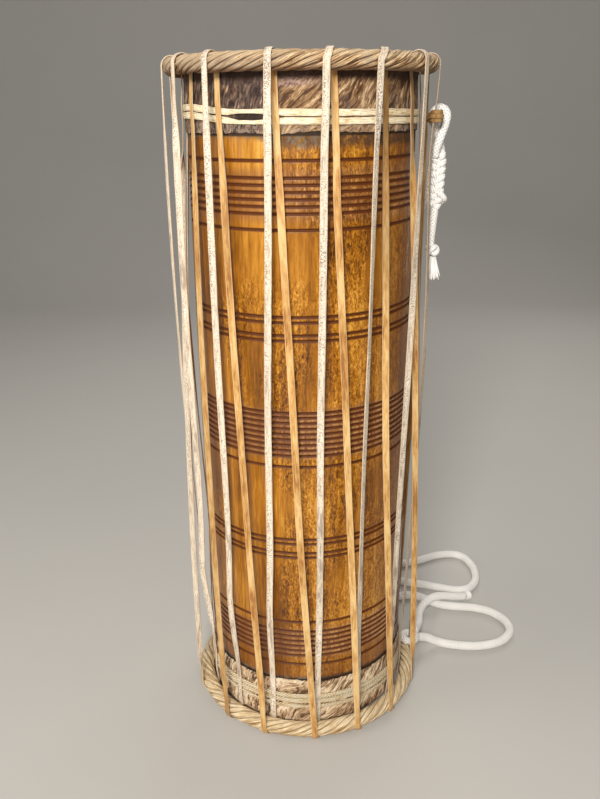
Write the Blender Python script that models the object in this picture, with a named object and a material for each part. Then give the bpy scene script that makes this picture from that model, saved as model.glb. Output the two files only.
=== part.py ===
"""A yak bera, the long two-headed drum of Sri Lanka's low country, standing on one end.

A turned wooden shell carries a hide head on each end. Two thick hoops of twisted hide lie
round the heads, and one long thong runs up and down between them, over each hoop, in fifteen
lengths. Fibre bindings hold the skirts of the heads to the wood. A cotton carrying rope is tied
to one lace by its eye, hangs down the back and is hitched to another lace above the floor.

Metres, +Z up. The drum's axis is Z, the floor is Z = 0, and the front is on -Y.
Azimuths are degrees from the front, positive towards +X.
"""
import math

import bmesh
import bpy
from mathutils import Vector

# Whole drum
DRUM_HEIGHT = 0.700
TURNED_SIDES = 30
SEAT_GAP = 0.0003

# Shell, turned from one log and bored right through
SHELL_RADIUS = 0.1120
SHELL_SWELL = 0.0017
SHELL_WALL = 0.013
SHELL_EDGE_ROUND = 0.004
GROOVE_WIDTH = 0.0026
GROOVE_DEPTH = 0.0011
GROOVE_SPACING = 0.0061
FINE_GROOVE_SPACING = 0.0057
PAIR_SPACING = 0.0052
# Each group is its distance from an end or from the middle, its grooves and their spacing
TOP_GROOVES = (
    (0.0896, 1, GROOVE_SPACING),
    (0.1194, 6, GROOVE_SPACING),
    (0.1488, 1, GROOVE_SPACING),
    (0.2303, 2, PAIR_SPACING),
    (0.2477, 2, PAIR_SPACING),
)
MIDDLE_GROOVES = (
    (0.0281, 1, GROOVE_SPACING),
    (0.0034, 8, FINE_GROOVE_SPACING),
    (-0.0283, 1, GROOVE_SPACING),
)
BOTTOM_GROOVES = (
    (0.2378, 2, PAIR_SPACING),
    (0.2222, 2, PAIR_SPACING),
    (0.1409, 1, GROOVE_SPACING),
    (0.1139, 6, GROOVE_SPACING),
    (0.0873, 1, GROOVE_SPACING),
)

# Heads, a hide face with a skirt that laps down the wood
SKIN_THICKNESS = 0.0010
HEAD_RECESS = 0.0070
TOP_SKIRT_REACH = 0.0670
BOTTOM_SKIRT_REACH = 0.0650
SKIRT_RAGGEDNESS = 0.0016

# Hoops of three twisted strands of hide
HOOP_THICKNESS = 0.0172
HOOP_STRANDS = 3
HOOP_TURNS = 7
HOOP_STATIONS = 84
HOOP_SECTION_SIDES = 9
HOOP_VALLEY = 0.0013

# Fibre bindings wound round the skirts
BINDING_THICKNESS = 0.0016
TOP_BINDING_WIDTH = 0.0061
TOP_BINDING_PITCH = 0.0068
TOP_BINDING_TURNS = 2
TOP_BINDING_FROM_HEM = 0.0147
BOTTOM_BINDING_WIDTH = 0.0058
BOTTOM_BINDING_PITCH = 0.0067
BOTTOM_BINDING_TURNS = 3
BOTTOM_BINDING_FROM_HEM = 0.0238
LEAST_WINDING_GAP = 0.0004

# Lacing, a flat thong whose lengths are spaced by eye
LACE_WIDTH = 0.0066
LACE_THICKNESS = 0.0012
LACE_COUNT = 15
FIRST_LACE_AZIMUTH = -84.0
PALE_FOOT_LEAN = -5.0
TAN_FOOT_LEAN = -8.0
TAN_TOP_LEAN = -22.0
LACE_FLAT = 0.0052
LACE_SPLICE_DROP = 0.0032
PALE_TOP_WANDER = (8, 2.3, -1.2, 0.7, -2.4, -5.3, -2.8, -3, -2, 0, 1, 2, 3, 5, 6)
PALE_FOOT_WANDER = (-1, -4.3, -0.3, -2, -0.9, -1.2, 0.8, -1, -1, 1, 2, 3, 4, 5, 4)
TAN_FOOT_WANDER = (0, -3, 1, -0.9, -0.1, -2.6, -5.4, -3, 0, 1, 2, 3, 4, 5, 4)
TAN_TOP_WANDER = (6, 2, -1.7, -5.2, -1.3, 0.3, 2, -1, -2, -1, 1, 2, 3, 4, 6)
# How far the middle of each run stands off from a straight line, outwards and round the drum
PALE_BOW = (0.008, 0.005, 0.004, 0.003, 0.003, 0.002, 0.003, 0.004, 0.004, 0.005, 0.003, 0.004,
            0.005, 0.003, 0.006)
PALE_DRIFT = (0, -0.0018, -0.0012, -0.0011, -0.0009, -0.0036, -0.0045, -0.0020, 0.0010, -0.0010,
              0.0020, -0.0020, 0.0010, -0.0010, 0)
TAN_BOW = (0.006, 0.006, 0.005, 0.003, 0.003, 0.0025, 0.002, 0.0045, 0.004, 0.005, 0.004, 0.003,
           0.005, 0.004, 0.006)
TAN_DRIFT = (0, 0, -0.0005, 0, -0.0016, -0.0017, -0.0055, -0.0040, -0.0010, 0.0010, -0.0010,
             0.0020, -0.0010, 0.0010, 0)

# Carrying rope of soft cotton
ROPE_DIAMETER = 0.0110
ROPE_STEP = 0.0230
KNOTTED_ROPE_DIAMETER = 0.0082
EYE_LACE = 7
EYE_CENTRE = Vector((0.1342, -0.0040, 0.6441))
EYE_SPAN = 0.0140
EYE_NECK_HEIGHT = 0.0140
SINNET_LENGTH = 0.0590
SINNET_WIDTH = 0.0174
SINNET_DEPTH = 0.0164
SINNET_ROWS = 8
SINNET_TOP = Vector((0.1333, -0.0040, 0.6128))
KNOT_GAP = 0.0008
END_STRAND_LENGTH = 0.0300
END_STRAND_LEAN = 0.0026
STOPPER_DIAMETER = 0.0150
TASSEL_LENGTH = 0.0250
TASSEL_WIDTH = 0.0158
TASSEL_LEAN = 0.0016
TIE_WIDTH = 0.0052
TIE_HEIGHT = 0.6412
HITCH_LACE = 8
HITCH_ROPE_DIAMETER = 0.0092
WHIPPING_LENGTH = 0.0090
WHIPPING_THICKNESS = 0.0005

# The stretch that hangs behind the drum, lies in two loops and ends at the hitch
HANGING_ROUTE = (
    (0.1335, 0.0052, 0.6060),
    (0.1356, 0.0165, 0.6050),
    (0.1368, 0.0280, 0.6010),
    (0.1366, 0.0390, 0.5930),
    (0.1345, 0.0490, 0.5810),
    (0.1310, 0.0578, 0.5650),
    (0.1225, 0.0720, 0.5250),
    (0.1140, 0.0835, 0.4800),
    (0.1085, 0.0895, 0.4300),
    (0.1010, 0.0965, 0.3075),
    (0.0965, 0.1010, 0.1750),
    (0.0940, 0.1040, 0.0750),
    (0.0925, 0.1085, 0.0420),
    (0.0905, 0.1170, 0.0190),
    (0.0865, 0.1330, 0.0075),
    (0.0805, 0.1520, 0.0058),
    (0.0790, 0.1740, 0.0058),
    (0.0870, 0.1960, 0.0058),
    (0.1050, 0.2120, 0.0058),
    (0.1320, 0.2195, 0.0058),
    (0.1660, 0.2300, 0.0058),
    (0.1890, 0.2420, 0.0058),
    (0.2070, 0.2480, 0.0058),
    (0.2250, 0.2485, 0.0058),
    (0.2390, 0.2390, 0.0058),
    (0.2460, 0.2210, 0.0058),
    (0.2480, 0.2020, 0.0058),
    (0.2460, 0.1840, 0.0058),
    (0.2400, 0.1680, 0.0058),
    (0.2290, 0.1560, 0.0058),
    (0.2130, 0.1520, 0.0058),
    (0.1980, 0.1560, 0.0058),
    (0.1830, 0.1610, 0.0058),
    (0.1670, 0.1665, 0.0058),
    (0.1500, 0.1710, 0.0058),
    (0.1350, 0.1765, 0.0058),
    (0.1200, 0.1785, 0.0058),
    (0.1060, 0.1730, 0.0058),
    (0.0985, 0.1600, 0.0058),
    (0.1010, 0.1455, 0.0058),
    (0.1130, 0.1370, 0.0058),
    (0.1270, 0.1370, 0.0058),
    (0.1410, 0.1400, 0.0058),
    (0.1560, 0.1370, 0.0058),
    (0.1700, 0.1260, 0.0058),
    (0.1820, 0.1180, 0.0058),
    (0.1980, 0.1130, 0.0058),
    (0.2170, 0.1110, 0.0058),
    (0.2340, 0.1075, 0.0058),
    (0.2500, 0.0990, 0.0058),
    (0.2620, 0.0850, 0.0058),
    (0.2670, 0.0690, 0.0058),
    (0.2640, 0.0530, 0.0058),
    (0.2540, 0.0400, 0.0058),
    (0.2400, 0.0315, 0.0058),
    (0.2230, 0.0270, 0.0058),
    (0.2060, 0.0265, 0.0058),
    (0.1880, 0.0290, 0.0058),
    (0.1740, 0.0320, 0.0065),
    (0.1630, 0.0320, 0.0105),
    (0.1530, 0.0290, 0.0170),
    (0.1432, 0.0245, 0.0215),
)
# The free end, from the hitch up and across the other stretch
TAIL_ROUTE = (
    (0.1385, 0.0358, 0.0236),
    (0.1395, 0.0450, 0.0190),
    (0.1425, 0.0570, 0.0105),
    (0.1465, 0.0690, 0.0060),
    (0.1500, 0.0820, 0.0058),
    (0.1520, 0.0940, 0.0072),
    (0.1570, 0.1050, 0.0105),
    (0.1660, 0.1135, 0.0150),
    (0.1780, 0.1190, 0.0176),
    (0.1900, 0.1230, 0.0160),
    (0.2020, 0.1280, 0.0110),
    (0.2140, 0.1335, 0.0070),
    (0.2220, 0.1370, 0.0060),
)


def on_drum(radius, azimuth, height):
    """A point round the drum, from its distance to the axis, its azimuth and its height."""
    angle = math.radians(azimuth)
    return Vector((radius * math.sin(angle), -radius * math.cos(angle), height))


def facet_reach(sides):
    """How much further out the corners of a faceted round lie than the middle of its sides."""
    return 1 / math.cos(math.pi / sides)


# Sizes that follow from those above
SKIN_STACK = SEAT_GAP + SKIN_THICKNESS
LACE_SEAT = SEAT_GAP + LACE_THICKNESS / 2
HOOP_TUBE = HOOP_THICKNESS / 2
WRAP_RADIUS = HOOP_TUBE + LACE_SEAT
WRAP_STEP = math.radians(25)
WRAP_CORNER = WRAP_RADIUS / math.cos(WRAP_STEP / 2)
SHELL_END_RADIUS = SHELL_RADIUS - SHELL_SWELL
SKIRT_END_RADIUS = SHELL_END_RADIUS + SKIN_STACK
HOOP_RADIUS = SKIRT_END_RADIUS + LACE_SEAT + WRAP_CORNER
HOOP_RISE = LACE_THICKNESS + SEAT_GAP + HOOP_TUBE
HEAD_RISE = HOOP_RISE - HOOP_TUBE + HEAD_RECESS
SHELL_END = HEAD_RISE + SKIN_STACK
TOP_BINDING_DISTANCE = TOP_SKIRT_REACH - TOP_BINDING_FROM_HEM
BOTTOM_BINDING_DISTANCE = BOTTOM_SKIRT_REACH - BOTTOM_BINDING_FROM_HEM
KNOTTED_ROPE = KNOTTED_ROPE_DIAMETER / 2
HITCH_ROPE = HITCH_ROPE_DIAMETER / 2


def shell_radius(height):
    """Outer radius of the wood, a little fuller at the middle than at the ends."""
    from_middle = (2 * height - DRUM_HEIGHT) / (DRUM_HEIGHT - 2 * SHELL_END)
    return SHELL_RADIUS - SHELL_SWELL * from_middle ** 2


def finish(name, mesh_or_curve, material, smooth_angle=35):
    """Puts a finished mesh or curve in the scene under its name, with its material."""
    piece = bpy.data.objects.new(name, mesh_or_curve)
    bpy.context.scene.collection.objects.link(piece)
    mesh_or_curve.materials.append(material)
    if isinstance(mesh_or_curve, bpy.types.Mesh):
        mesh_or_curve.shade_smooth()
        mesh_or_curve.set_sharp_from_angle(angle=math.radians(smooth_angle))
    return piece


def material(name, colour, roughness):
    """A plain surface of one colour."""
    surface = bpy.data.materials.new(name)
    surface.use_nodes = True
    shader = surface.node_tree.nodes["Principled BSDF"]
    shader.inputs["Base Color"].default_value = (*colour, 1)
    shader.inputs["Roughness"].default_value = roughness
    shader.inputs["Metallic"].default_value = 0
    return surface


def closed_mesh(name, bm):
    """Ends a bmesh as a mesh of one closed body whose faces point out."""
    bmesh.ops.remove_doubles(bm, verts=bm.verts, dist=0.000001)
    bmesh.ops.recalc_face_normals(bm, faces=bm.faces)
    mesh = bpy.data.meshes.new(name)
    bm.to_mesh(mesh)
    bm.free()
    return mesh


def turned(name, outline, closed=True):
    """A mesh turned about the drum's axis from an outline of (radius, height) points."""
    bm = bmesh.new()
    corners = [bm.verts.new((radius, 0, height)) for radius, height in outline]
    edges = [bm.edges.new(pair) for pair in zip(corners, corners[1:])]
    if closed:
        edges.append(bm.edges.new((corners[-1], corners[0])))
    bmesh.ops.spin(
        bm, geom=corners + edges, cent=(0, 0, 0), axis=(0, 0, 1),
        angle=math.tau, steps=TURNED_SIDES, use_merge=True)
    return closed_mesh(name, bm)


def lofted(name, rings, closed=False):
    """A mesh through rings of points, closed on itself or with an end face on each end."""
    bm = bmesh.new()
    loops = [[bm.verts.new(point) for point in ring] for ring in rings]
    following = loops[1:] + loops[:1] if closed else loops[1:]
    for loop, other in zip(loops, following):
        for index in range(len(loop)):
            after = (index + 1) % len(loop)
            bm.faces.new((loop[index], loop[after], other[after], other[index]))
    if not closed:
        bm.faces.new(reversed(loops[0]))
        bm.faces.new(loops[-1])
    return closed_mesh(name, bm)


def flat_strip(name, route, across, width, thickness, flats=()):
    """A strip of flat section along a route; across gives the way its width lies at a point.

    Flats holds the place of the first point of each step that lies truly level.
    """
    rings = []
    for index, point in enumerate(route):
        before = route[max(index - 1, 0)]
        after = route[min(index + 1, len(route) - 1)]
        if index in flats:
            before = point
        if index - 1 in flats:
            after = point
        along = (after - before).normalized()
        side = across(point)
        side = (side - along * side.dot(along)).normalized()
        face = along.cross(side)
        half_width = side * width / 2
        half_thickness = face * thickness / 2
        rings.append([
            point - half_width - half_thickness,
            point + half_width - half_thickness,
            point + half_width + half_thickness,
            point - half_width + half_thickness,
        ])
    return lofted(name, rings)


def around_drum(point):
    """The direction round the drum at a point."""
    return Vector((-point.y, point.x, 0)).normalized()


def smooth_route(points, step):
    """Evenly spaced points on a smooth curve through a route's own points."""
    corners = [Vector(point) for point in points]
    first = corners[0] * 2 - corners[1]
    last = corners[-1] * 2 - corners[-2]
    padded = [first] + corners + [last]
    fine = []
    for index in range(len(corners) - 1):
        a, b, c, d = padded[index:index + 4]
        for part in range(8):
            t = part / 8
            fine.append(0.5 * (
                2 * b + (c - a) * t + (2 * a - 5 * b + 4 * c - d) * t ** 2
                + (3 * b - a - 3 * c + d) * t ** 3))
    fine.append(corners[-1])
    lengths = [0.0]
    for before, after in zip(fine, fine[1:]):
        lengths.append(lengths[-1] + (after - before).length)
    count = max(2, round(lengths[-1] / step))
    route = []
    place = 0
    for index in range(count + 1):
        wanted = lengths[-1] * index / count
        while place < len(fine) - 2 and lengths[place + 1] < wanted:
            place += 1
        part = (wanted - lengths[place]) / (lengths[place + 1] - lengths[place])
        route.append(fine[place].lerp(fine[place + 1], min(part, 1)))
    return route, lengths[-1]


def tube(name, route, diameter, surface, bevel_resolution=2):
    """A round cord along a route, with filled ends."""
    curve = bpy.data.curves.new(name, "CURVE")
    curve.dimensions = "3D"
    curve.bevel_depth = diameter / 2
    curve.bevel_resolution = bevel_resolution
    curve.use_fill_caps = True
    curve.render_resolution_u = 0
    spline = curve.splines.new("POLY")
    spline.points.add(len(route) - 1)
    for point, place in zip(spline.points, route):
        point.co = (*place, 1)
    return finish(name, curve, surface)


def ring_of(centre, first_axis, second_axis, sides, phase=0):
    """Points round a centre, on an ellipse given by its two half axes."""
    angles = [phase + math.tau * side / sides for side in range(sides)]
    return [centre + first_axis * math.cos(a) + second_axis * math.sin(a) for a in angles]


# The turned shell
def groove_heights():
    """Height, from the floor, of the middle of each groove, highest first."""
    groups = [(DRUM_HEIGHT - away, count, spacing) for away, count, spacing in TOP_GROOVES]
    groups += [(DRUM_HEIGHT / 2 + away, count, spacing) for away, count, spacing in MIDDLE_GROOVES]
    groups += list(BOTTOM_GROOVES)
    heights = []
    for centre, count, spacing in groups:
        heights += [centre + spacing * ((count - 1) / 2 - index) for index in range(count)]
    return sorted(heights, reverse=True)


def make_shell(wood):
    """The bored log, with a rounded edge under each head and its cut grooves."""
    top = DRUM_HEIGHT - SHELL_END
    bottom = SHELL_END
    bore = SHELL_RADIUS - SHELL_WALL
    slant = SHELL_EDGE_ROUND * (1 - math.cos(math.pi / 4))
    outline = [
        (bore, top),
        (SHELL_END_RADIUS - SHELL_EDGE_ROUND, top),
        (SHELL_END_RADIUS - slant, top - slant),
        (SHELL_END_RADIUS, top - SHELL_EDGE_ROUND),
    ]
    for height in groove_heights():
        for offset, depth in ((GROOVE_WIDTH / 2, 0), (0, GROOVE_DEPTH), (-GROOVE_WIDTH / 2, 0)):
            outline.append((shell_radius(height) - depth, height + offset))
    outline += [
        (SHELL_END_RADIUS, bottom + SHELL_EDGE_ROUND),
        (SHELL_END_RADIUS - slant, bottom + slant),
        (SHELL_END_RADIUS - SHELL_EDGE_ROUND, bottom),
        (bore, bottom),
    ]
    finish("drum_shell", turned("drum_shell", outline), wood)


# The heads
def make_head(name, side, skirt_reach, hide):
    """A hide face, folded over the edge of the shell and down its outside as a skirt."""
    end = DRUM_HEIGHT if side > 0 else 0
    round_slant = SHELL_EDGE_ROUND * (1 - math.cos(math.pi / 4))
    offset_slant = SKIN_STACK * math.cos(math.pi / 4)
    inner_offset_slant = SEAT_GAP * math.cos(math.pi / 4)
    wood_face = end - side * SHELL_END
    hem = end - side * skirt_reach

    def layer(offset, slant):
        """One face of the hide, at its offset from the wood."""
        waist = (hem + wood_face) / 2
        return [
            (0, wood_face + side * offset),
            (SHELL_END_RADIUS - SHELL_EDGE_ROUND, wood_face + side * offset),
            (SHELL_END_RADIUS - round_slant + slant, wood_face + side * (slant - round_slant)),
            (SHELL_END_RADIUS + offset, wood_face - side * SHELL_EDGE_ROUND),
            (shell_radius(waist) + offset, waist),
            (shell_radius(hem) + offset, hem),
        ]

    outline = layer(SKIN_STACK, offset_slant) + layer(SEAT_GAP, inner_offset_slant)[::-1]
    mesh = turned(name, outline, closed=False)
    for vertex in mesh.vertices:
        if abs(vertex.co.z - hem) < 0.00001:
            azimuth = math.atan2(vertex.co.x, -vertex.co.y)
            waves = math.sin(3 * azimuth + side) + math.sin(7 * azimuth) + math.sin(11 * azimuth)
            vertex.co.z += side * SKIRT_RAGGEDNESS * waves / 3
    finish(name, mesh, hide)


# The hoops
def make_hoop(name, height, hide):
    """A hoop laid up from strands of hide, whose ridges wind round it."""
    rings = []
    for station in range(HOOP_STATIONS):
        share = station / HOOP_STATIONS
        outward = on_drum(1, 360 * share, 0)
        centre = outward * HOOP_RADIUS + Vector((0, 0, height))
        twist = math.tau * HOOP_TURNS * share
        ring = []
        for side in range(HOOP_SECTION_SIDES):
            angle = math.tau * side / HOOP_SECTION_SIDES + twist
            crest = math.cos(HOOP_STRANDS * (angle - twist))
            radius = HOOP_TUBE - HOOP_VALLEY * (1 - crest) / 2
            ring.append(centre + outward * radius * math.cos(angle)
                        + Vector((0, 0, radius * math.sin(angle))))
        rings.append(ring)
    # The last ring meets the first, turned by whole sides, because the turns are a whole number
    finish(name, lofted(name, rings, closed=True), hide)


# The bindings
def make_binding(name, middle, width, pitch, turns, fibre):
    """One unbroken flat tape of fibre, wound round a skirt."""
    reach = facet_reach(TURNED_SIDES)
    waist = shell_radius(middle) + SKIN_STACK + SEAT_GAP
    radius = waist + BINDING_THICKNESS / 2
    stations = TURNED_SIDES * turns
    route = []
    for station in range(stations + 1):
        share = station / TURNED_SIDES
        height = middle + pitch * (turns / 2 - share)
        route.append(on_drum(radius, 90 + 360 * share, height))
    mesh = flat_strip(name, route, lambda point: Vector((0, 0, 1)), width, BINDING_THICKNESS)
    finish(name, mesh, fibre)
    one_turn_on = zip(route, route[TURNED_SIDES:])
    gap = min((after - before).length for before, after in one_turn_on) - width
    print(f"{name}: least gap between turns {gap * 1000:.2f} mm, corner reach {reach:.4f}")
    if gap < LEAST_WINDING_GAP:
        print(f"{name}: the turns lie closer than {LEAST_WINDING_GAP * 1000:.1f} mm")
    return radius + BINDING_THICKNESS / 2


# The lacing
def lace_marks(index):
    """Azimuths of one length: pale top, pale foot, tan foot and tan top."""
    regular = FIRST_LACE_AZIMUTH + index * 360 / LACE_COUNT
    wander = index % len(PALE_TOP_WANDER)
    return (
        regular + PALE_TOP_WANDER[wander],
        regular + PALE_FOOT_LEAN + PALE_FOOT_WANDER[wander],
        regular + TAN_FOOT_LEAN + TAN_FOOT_WANDER[wander],
        regular + TAN_TOP_LEAN + TAN_TOP_WANDER[wander],
    )


def wrap_outline():
    """Half a turn round a hoop, from its inner side to its outer side, as (out, up) offsets."""
    steps = [math.pi - WRAP_STEP * index for index in range(3)]
    inner = [(WRAP_CORNER * math.cos(a), WRAP_CORNER * math.sin(a)) for a in steps]
    flat = [(-LACE_FLAT / 2, WRAP_RADIUS), (LACE_FLAT / 2, WRAP_RADIUS)]
    outer = [(-out, up) for out, up in reversed(inner)]
    return inner + flat + outer


def bowed(before, after, bow, drift):
    """The middle of a long run of thong that dried a little out of straight."""
    middle = (before + after) / 2
    outward = Vector((middle.x, middle.y, 0)).normalized()
    return middle + outward * bow + around_drum(middle) * drift


def make_lace(index, top_binding_radius, bottom_binding_radius, thong):
    """One length: over the top hoop, down, under the bottom hoop and up behind the top hoop."""
    pale_top, pale_foot, tan_foot, tan_top = lace_marks(index)
    next_tan_top = lace_marks((index + 1) % LACE_COUNT)[3]
    if next_tan_top < pale_top - 180:
        next_tan_top += 360
    top_hoop = DRUM_HEIGHT - HOOP_RISE
    bottom_hoop = HOOP_RISE
    bottom_half = BOTTOM_BINDING_TURNS * BOTTOM_BINDING_PITCH / 2 + BOTTOM_BINDING_WIDTH / 2
    top_half = TOP_BINDING_TURNS * TOP_BINDING_PITCH / 2 + TOP_BINDING_WIDTH / 2
    bottom_radius = bottom_binding_radius + LACE_SEAT
    top_radius = top_binding_radius + LACE_SEAT
    flats = []
    splice = top_hoop - LACE_SPLICE_DROP
    inner_radius = HOOP_RADIUS - WRAP_CORNER
    wrap = wrap_outline()
    route = []
    flats.append(len(wrap) // 2 - 1)
    for step, (out, up) in enumerate(wrap):
        share = step / (len(wrap) - 1)
        azimuth = next_tan_top + (pale_top - next_tan_top) * share
        route.append(on_drum(HOOP_RADIUS + out, azimuth, top_hoop + up))
    over_hoop = len(route)
    for height in (BOTTOM_BINDING_DISTANCE + bottom_half, BOTTOM_BINDING_DISTANCE - bottom_half):
        share = (top_hoop - height) / (top_hoop - bottom_hoop)
        azimuth = pale_top + (pale_foot - pale_top) * share
        route.append(on_drum(bottom_radius, azimuth, height))
    pale_run = (route[over_hoop - 1], route[over_hoop])
    route.insert(over_hoop, bowed(*pale_run, PALE_BOW[index], PALE_DRIFT[index]))
    flats.append(len(route) + len(wrap) // 2 - 1)
    for step, (out, up) in enumerate(wrap):
        share = step / (len(wrap) - 1)
        azimuth = pale_foot + (tan_foot - pale_foot) * share
        route.append(on_drum(HOOP_RADIUS + out, azimuth, bottom_hoop - up))
    top_binding = DRUM_HEIGHT - TOP_BINDING_DISTANCE
    under_hoop = len(route)
    for height in (top_binding - top_half, top_binding + top_half):
        share = (height - bottom_hoop) / (splice - bottom_hoop)
        azimuth = tan_foot + (tan_top - tan_foot) * share
        route.append(on_drum(top_radius, azimuth, height))
    tan_run = (route[under_hoop - 1], route[under_hoop])
    route.insert(under_hoop, bowed(*tan_run, TAN_BOW[index], TAN_DRIFT[index]))
    route.append(on_drum(inner_radius, tan_top, splice))
    name = f"lace_{index + 1:02d}"
    mesh = flat_strip(name, route, around_drum, LACE_WIDTH, LACE_THICKNESS, flats)
    finish(name, mesh, thong)
    length = sum((after - before).length for before, after in zip(route, route[1:]))
    return length


def lace_point(index, height, pale):
    """Where one run of a lace crosses a height, on the line between its two hoops."""
    pale_top, pale_foot, tan_foot, tan_top = lace_marks(index)
    top_hoop = DRUM_HEIGHT - HOOP_RISE
    share = (height - HOOP_RISE) / (top_hoop - HOOP_RISE)
    outer = HOOP_RADIUS + WRAP_RADIUS
    inner = HOOP_RADIUS - WRAP_RADIUS
    if pale:
        return on_drum(inner + (outer - inner) * share, pale_foot + (pale_top - pale_foot) * share, height)
    return on_drum(outer + (inner - outer) * share, tan_foot + (tan_top - tan_foot) * share, height)


# The carrying rope
def make_eye(cotton):
    """The rope's eye, an upright loop that stands out from the lacing."""
    half = EYE_SPAN / 2
    foot = SINNET_TOP.z + KNOT_GAP
    left = EYE_CENTRE.x - half
    right = EYE_CENTRE.x + half
    neck = SINNET_TOP.x
    spread = KNOTTED_ROPE + SEAT_GAP
    route = [Vector((neck - spread, EYE_CENTRE.y, foot))]
    route.append(Vector((neck - spread, EYE_CENTRE.y, foot + EYE_NECK_HEIGHT)))
    route.append(Vector((left, EYE_CENTRE.y, EYE_CENTRE.z - half)))
    for step in range(9):
        angle = math.pi * (1 - step / 8)
        route.append(EYE_CENTRE + Vector((half * math.cos(angle), 0, half * math.sin(angle))))
    route.append(Vector((right, EYE_CENTRE.y, EYE_CENTRE.z - half)))
    route.append(Vector((neck + spread, EYE_CENTRE.y, foot + EYE_NECK_HEIGHT)))
    route.append(Vector((neck + spread, EYE_CENTRE.y, foot)))
    tube("rope_eye", route, KNOTTED_ROPE_DIAMETER, cotton)
    return left


def make_sinnet(cotton):
    """The chained stretch under the eye, whose stitches bulge to the left and right in turn."""
    rings = []
    pitch = SINNET_LENGTH / SINNET_ROWS
    for row in range(2 * SINNET_ROWS + 1):
        crest = row % 2
        height = SINNET_TOP.z - row * pitch / 2
        shift = 0.0007 * math.cos(math.pi * row / 2)
        taper = 1 if 0 < row < 2 * SINNET_ROWS else 0.95
        width = (SINNET_WIDTH / 2) * (1 if crest else 0.84) * taper
        depth = (SINNET_DEPTH / 2) * (1 if crest else 0.84) * taper
        centre = Vector((SINNET_TOP.x + shift, SINNET_TOP.y, height))
        rings.append(ring_of(centre, Vector((width, 0, 0)), Vector((0, depth, 0)), 10))
    finish("rope_sinnet", lofted("rope_sinnet", rings), cotton, smooth_angle=60)


def make_hanging_end(cotton):
    """The end strand below the sinnet, with its stopper knot and frayed tassel."""
    start = Vector((SINNET_TOP.x, SINNET_TOP.y, SINNET_TOP.z - SINNET_LENGTH - KNOT_GAP))
    foot = start + Vector((-END_STRAND_LEAN, 0, -END_STRAND_LENGTH))
    middle = start.lerp(foot, 0.5)
    route, length = smooth_route((start, middle, foot), 0.006)
    tube("rope_end_strand", route, KNOTTED_ROPE_DIAMETER, cotton)
    radius = STOPPER_DIAMETER / 2
    knot_top = foot.z - KNOT_GAP
    rings = []
    for step in range(7):
        angle = math.pi * (0.16 + 0.68 * step / 6)
        height = knot_top - radius * (math.cos(0.16 * math.pi) - math.cos(angle))
        width = radius * math.sin(angle)
        centre = Vector((foot.x + END_STRAND_LEAN, foot.y, height))
        rings.append(ring_of(centre, Vector((width, 0, 0)), Vector((0, width, 0)), 10))
    finish("rope_stopper_knot", lofted("rope_stopper_knot", rings), cotton, smooth_angle=60)
    tassel_top = rings[-1][0].z - SEAT_GAP
    rings = []
    for share, width in ((0, 0.26), (0.35, 0.36), (0.75, 0.46), (1, 0.5)):
        lean = END_STRAND_LEAN + TASSEL_LEAN * share
        centre = Vector((foot.x + lean, foot.y, tassel_top - TASSEL_LENGTH * share))
        half = TASSEL_WIDTH * width
        rings.append(ring_of(centre, Vector((half, 0, 0)), Vector((0, half, 0)), 10))
    finish("rope_tassel", lofted("rope_tassel", rings), cotton, smooth_angle=60)
    return length


def make_tie(eye_left, thong):
    """A band of thong round one pale run and the near leg of the eye."""
    lace = lace_point(EYE_LACE, TIE_HEIGHT, True)
    leg = Vector((eye_left, EYE_CENTRE.y, TIE_HEIGHT))
    along = (leg - lace).normalized()
    out = Vector((-along.y, along.x, 0))
    lace_reach = (LACE_WIDTH / 2 + 2 * SEAT_GAP) * facet_reach(12)
    leg_reach = (KNOTTED_ROPE + SEAT_GAP) * facet_reach(12)
    walls = []
    for extra in (0, LACE_THICKNESS):
        outline = []
        for centre, reach, start in ((leg, leg_reach, -90), (lace, lace_reach, 90)):
            for step in range(7):
                angle = math.radians(start + 30 * step)
                ray = along * math.cos(angle) + out * math.sin(angle)
                outline.append(centre + ray * (reach + extra))
        walls.append(outline)
    up = Vector((0, 0, TIE_WIDTH / 2))
    inner, outer = walls
    rings = [[a - up, b - up, b + up, a + up] for a, b in zip(inner, outer)]
    finish("thong_tie", lofted("thong_tie", rings, closed=True), thong)


def make_hitch(cotton):
    """The turn of rope round the foot of one tan run, just above the bottom hoop."""
    height = HOOP_RISE + HOOP_TUBE + HITCH_ROPE + SEAT_GAP
    centre = lace_point(HITCH_LACE, height, False)
    radius = (LACE_WIDTH / 2 + 2 * SEAT_GAP) * facet_reach(12) + HITCH_ROPE
    rings = []
    for step in range(12):
        angle = math.tau * step / 12
        ray = Vector((math.cos(angle), math.sin(angle), 0))
        rings.append(ring_of(centre + ray * radius, ray * HITCH_ROPE, Vector((0, 0, HITCH_ROPE)), 8))
    finish("rope_hitch", lofted("rope_hitch", rings, closed=True), cotton, smooth_angle=60)


def make_whipping(route, cotton):
    """The bound free end of the rope, in line with it."""
    along = (route[-1] - route[-2]).normalized()
    start = route[-1] + along * SEAT_GAP
    side = Vector((-along.y, along.x, 0)).normalized()
    up = along.cross(side)
    radius = ROPE_DIAMETER / 2
    rings = []
    for share, extra in ((0, 0), (0.12, WHIPPING_THICKNESS), (0.85, WHIPPING_THICKNESS), (1, -0.001)):
        centre = start + along * WHIPPING_LENGTH * share
        centre.z = max(centre.z, radius + extra + SEAT_GAP)
        reach = radius + extra
        rings.append(ring_of(centre, side * reach, up * reach, 8))
    finish("rope_end_whipping", lofted("rope_end_whipping", rings), cotton, smooth_angle=60)


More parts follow.
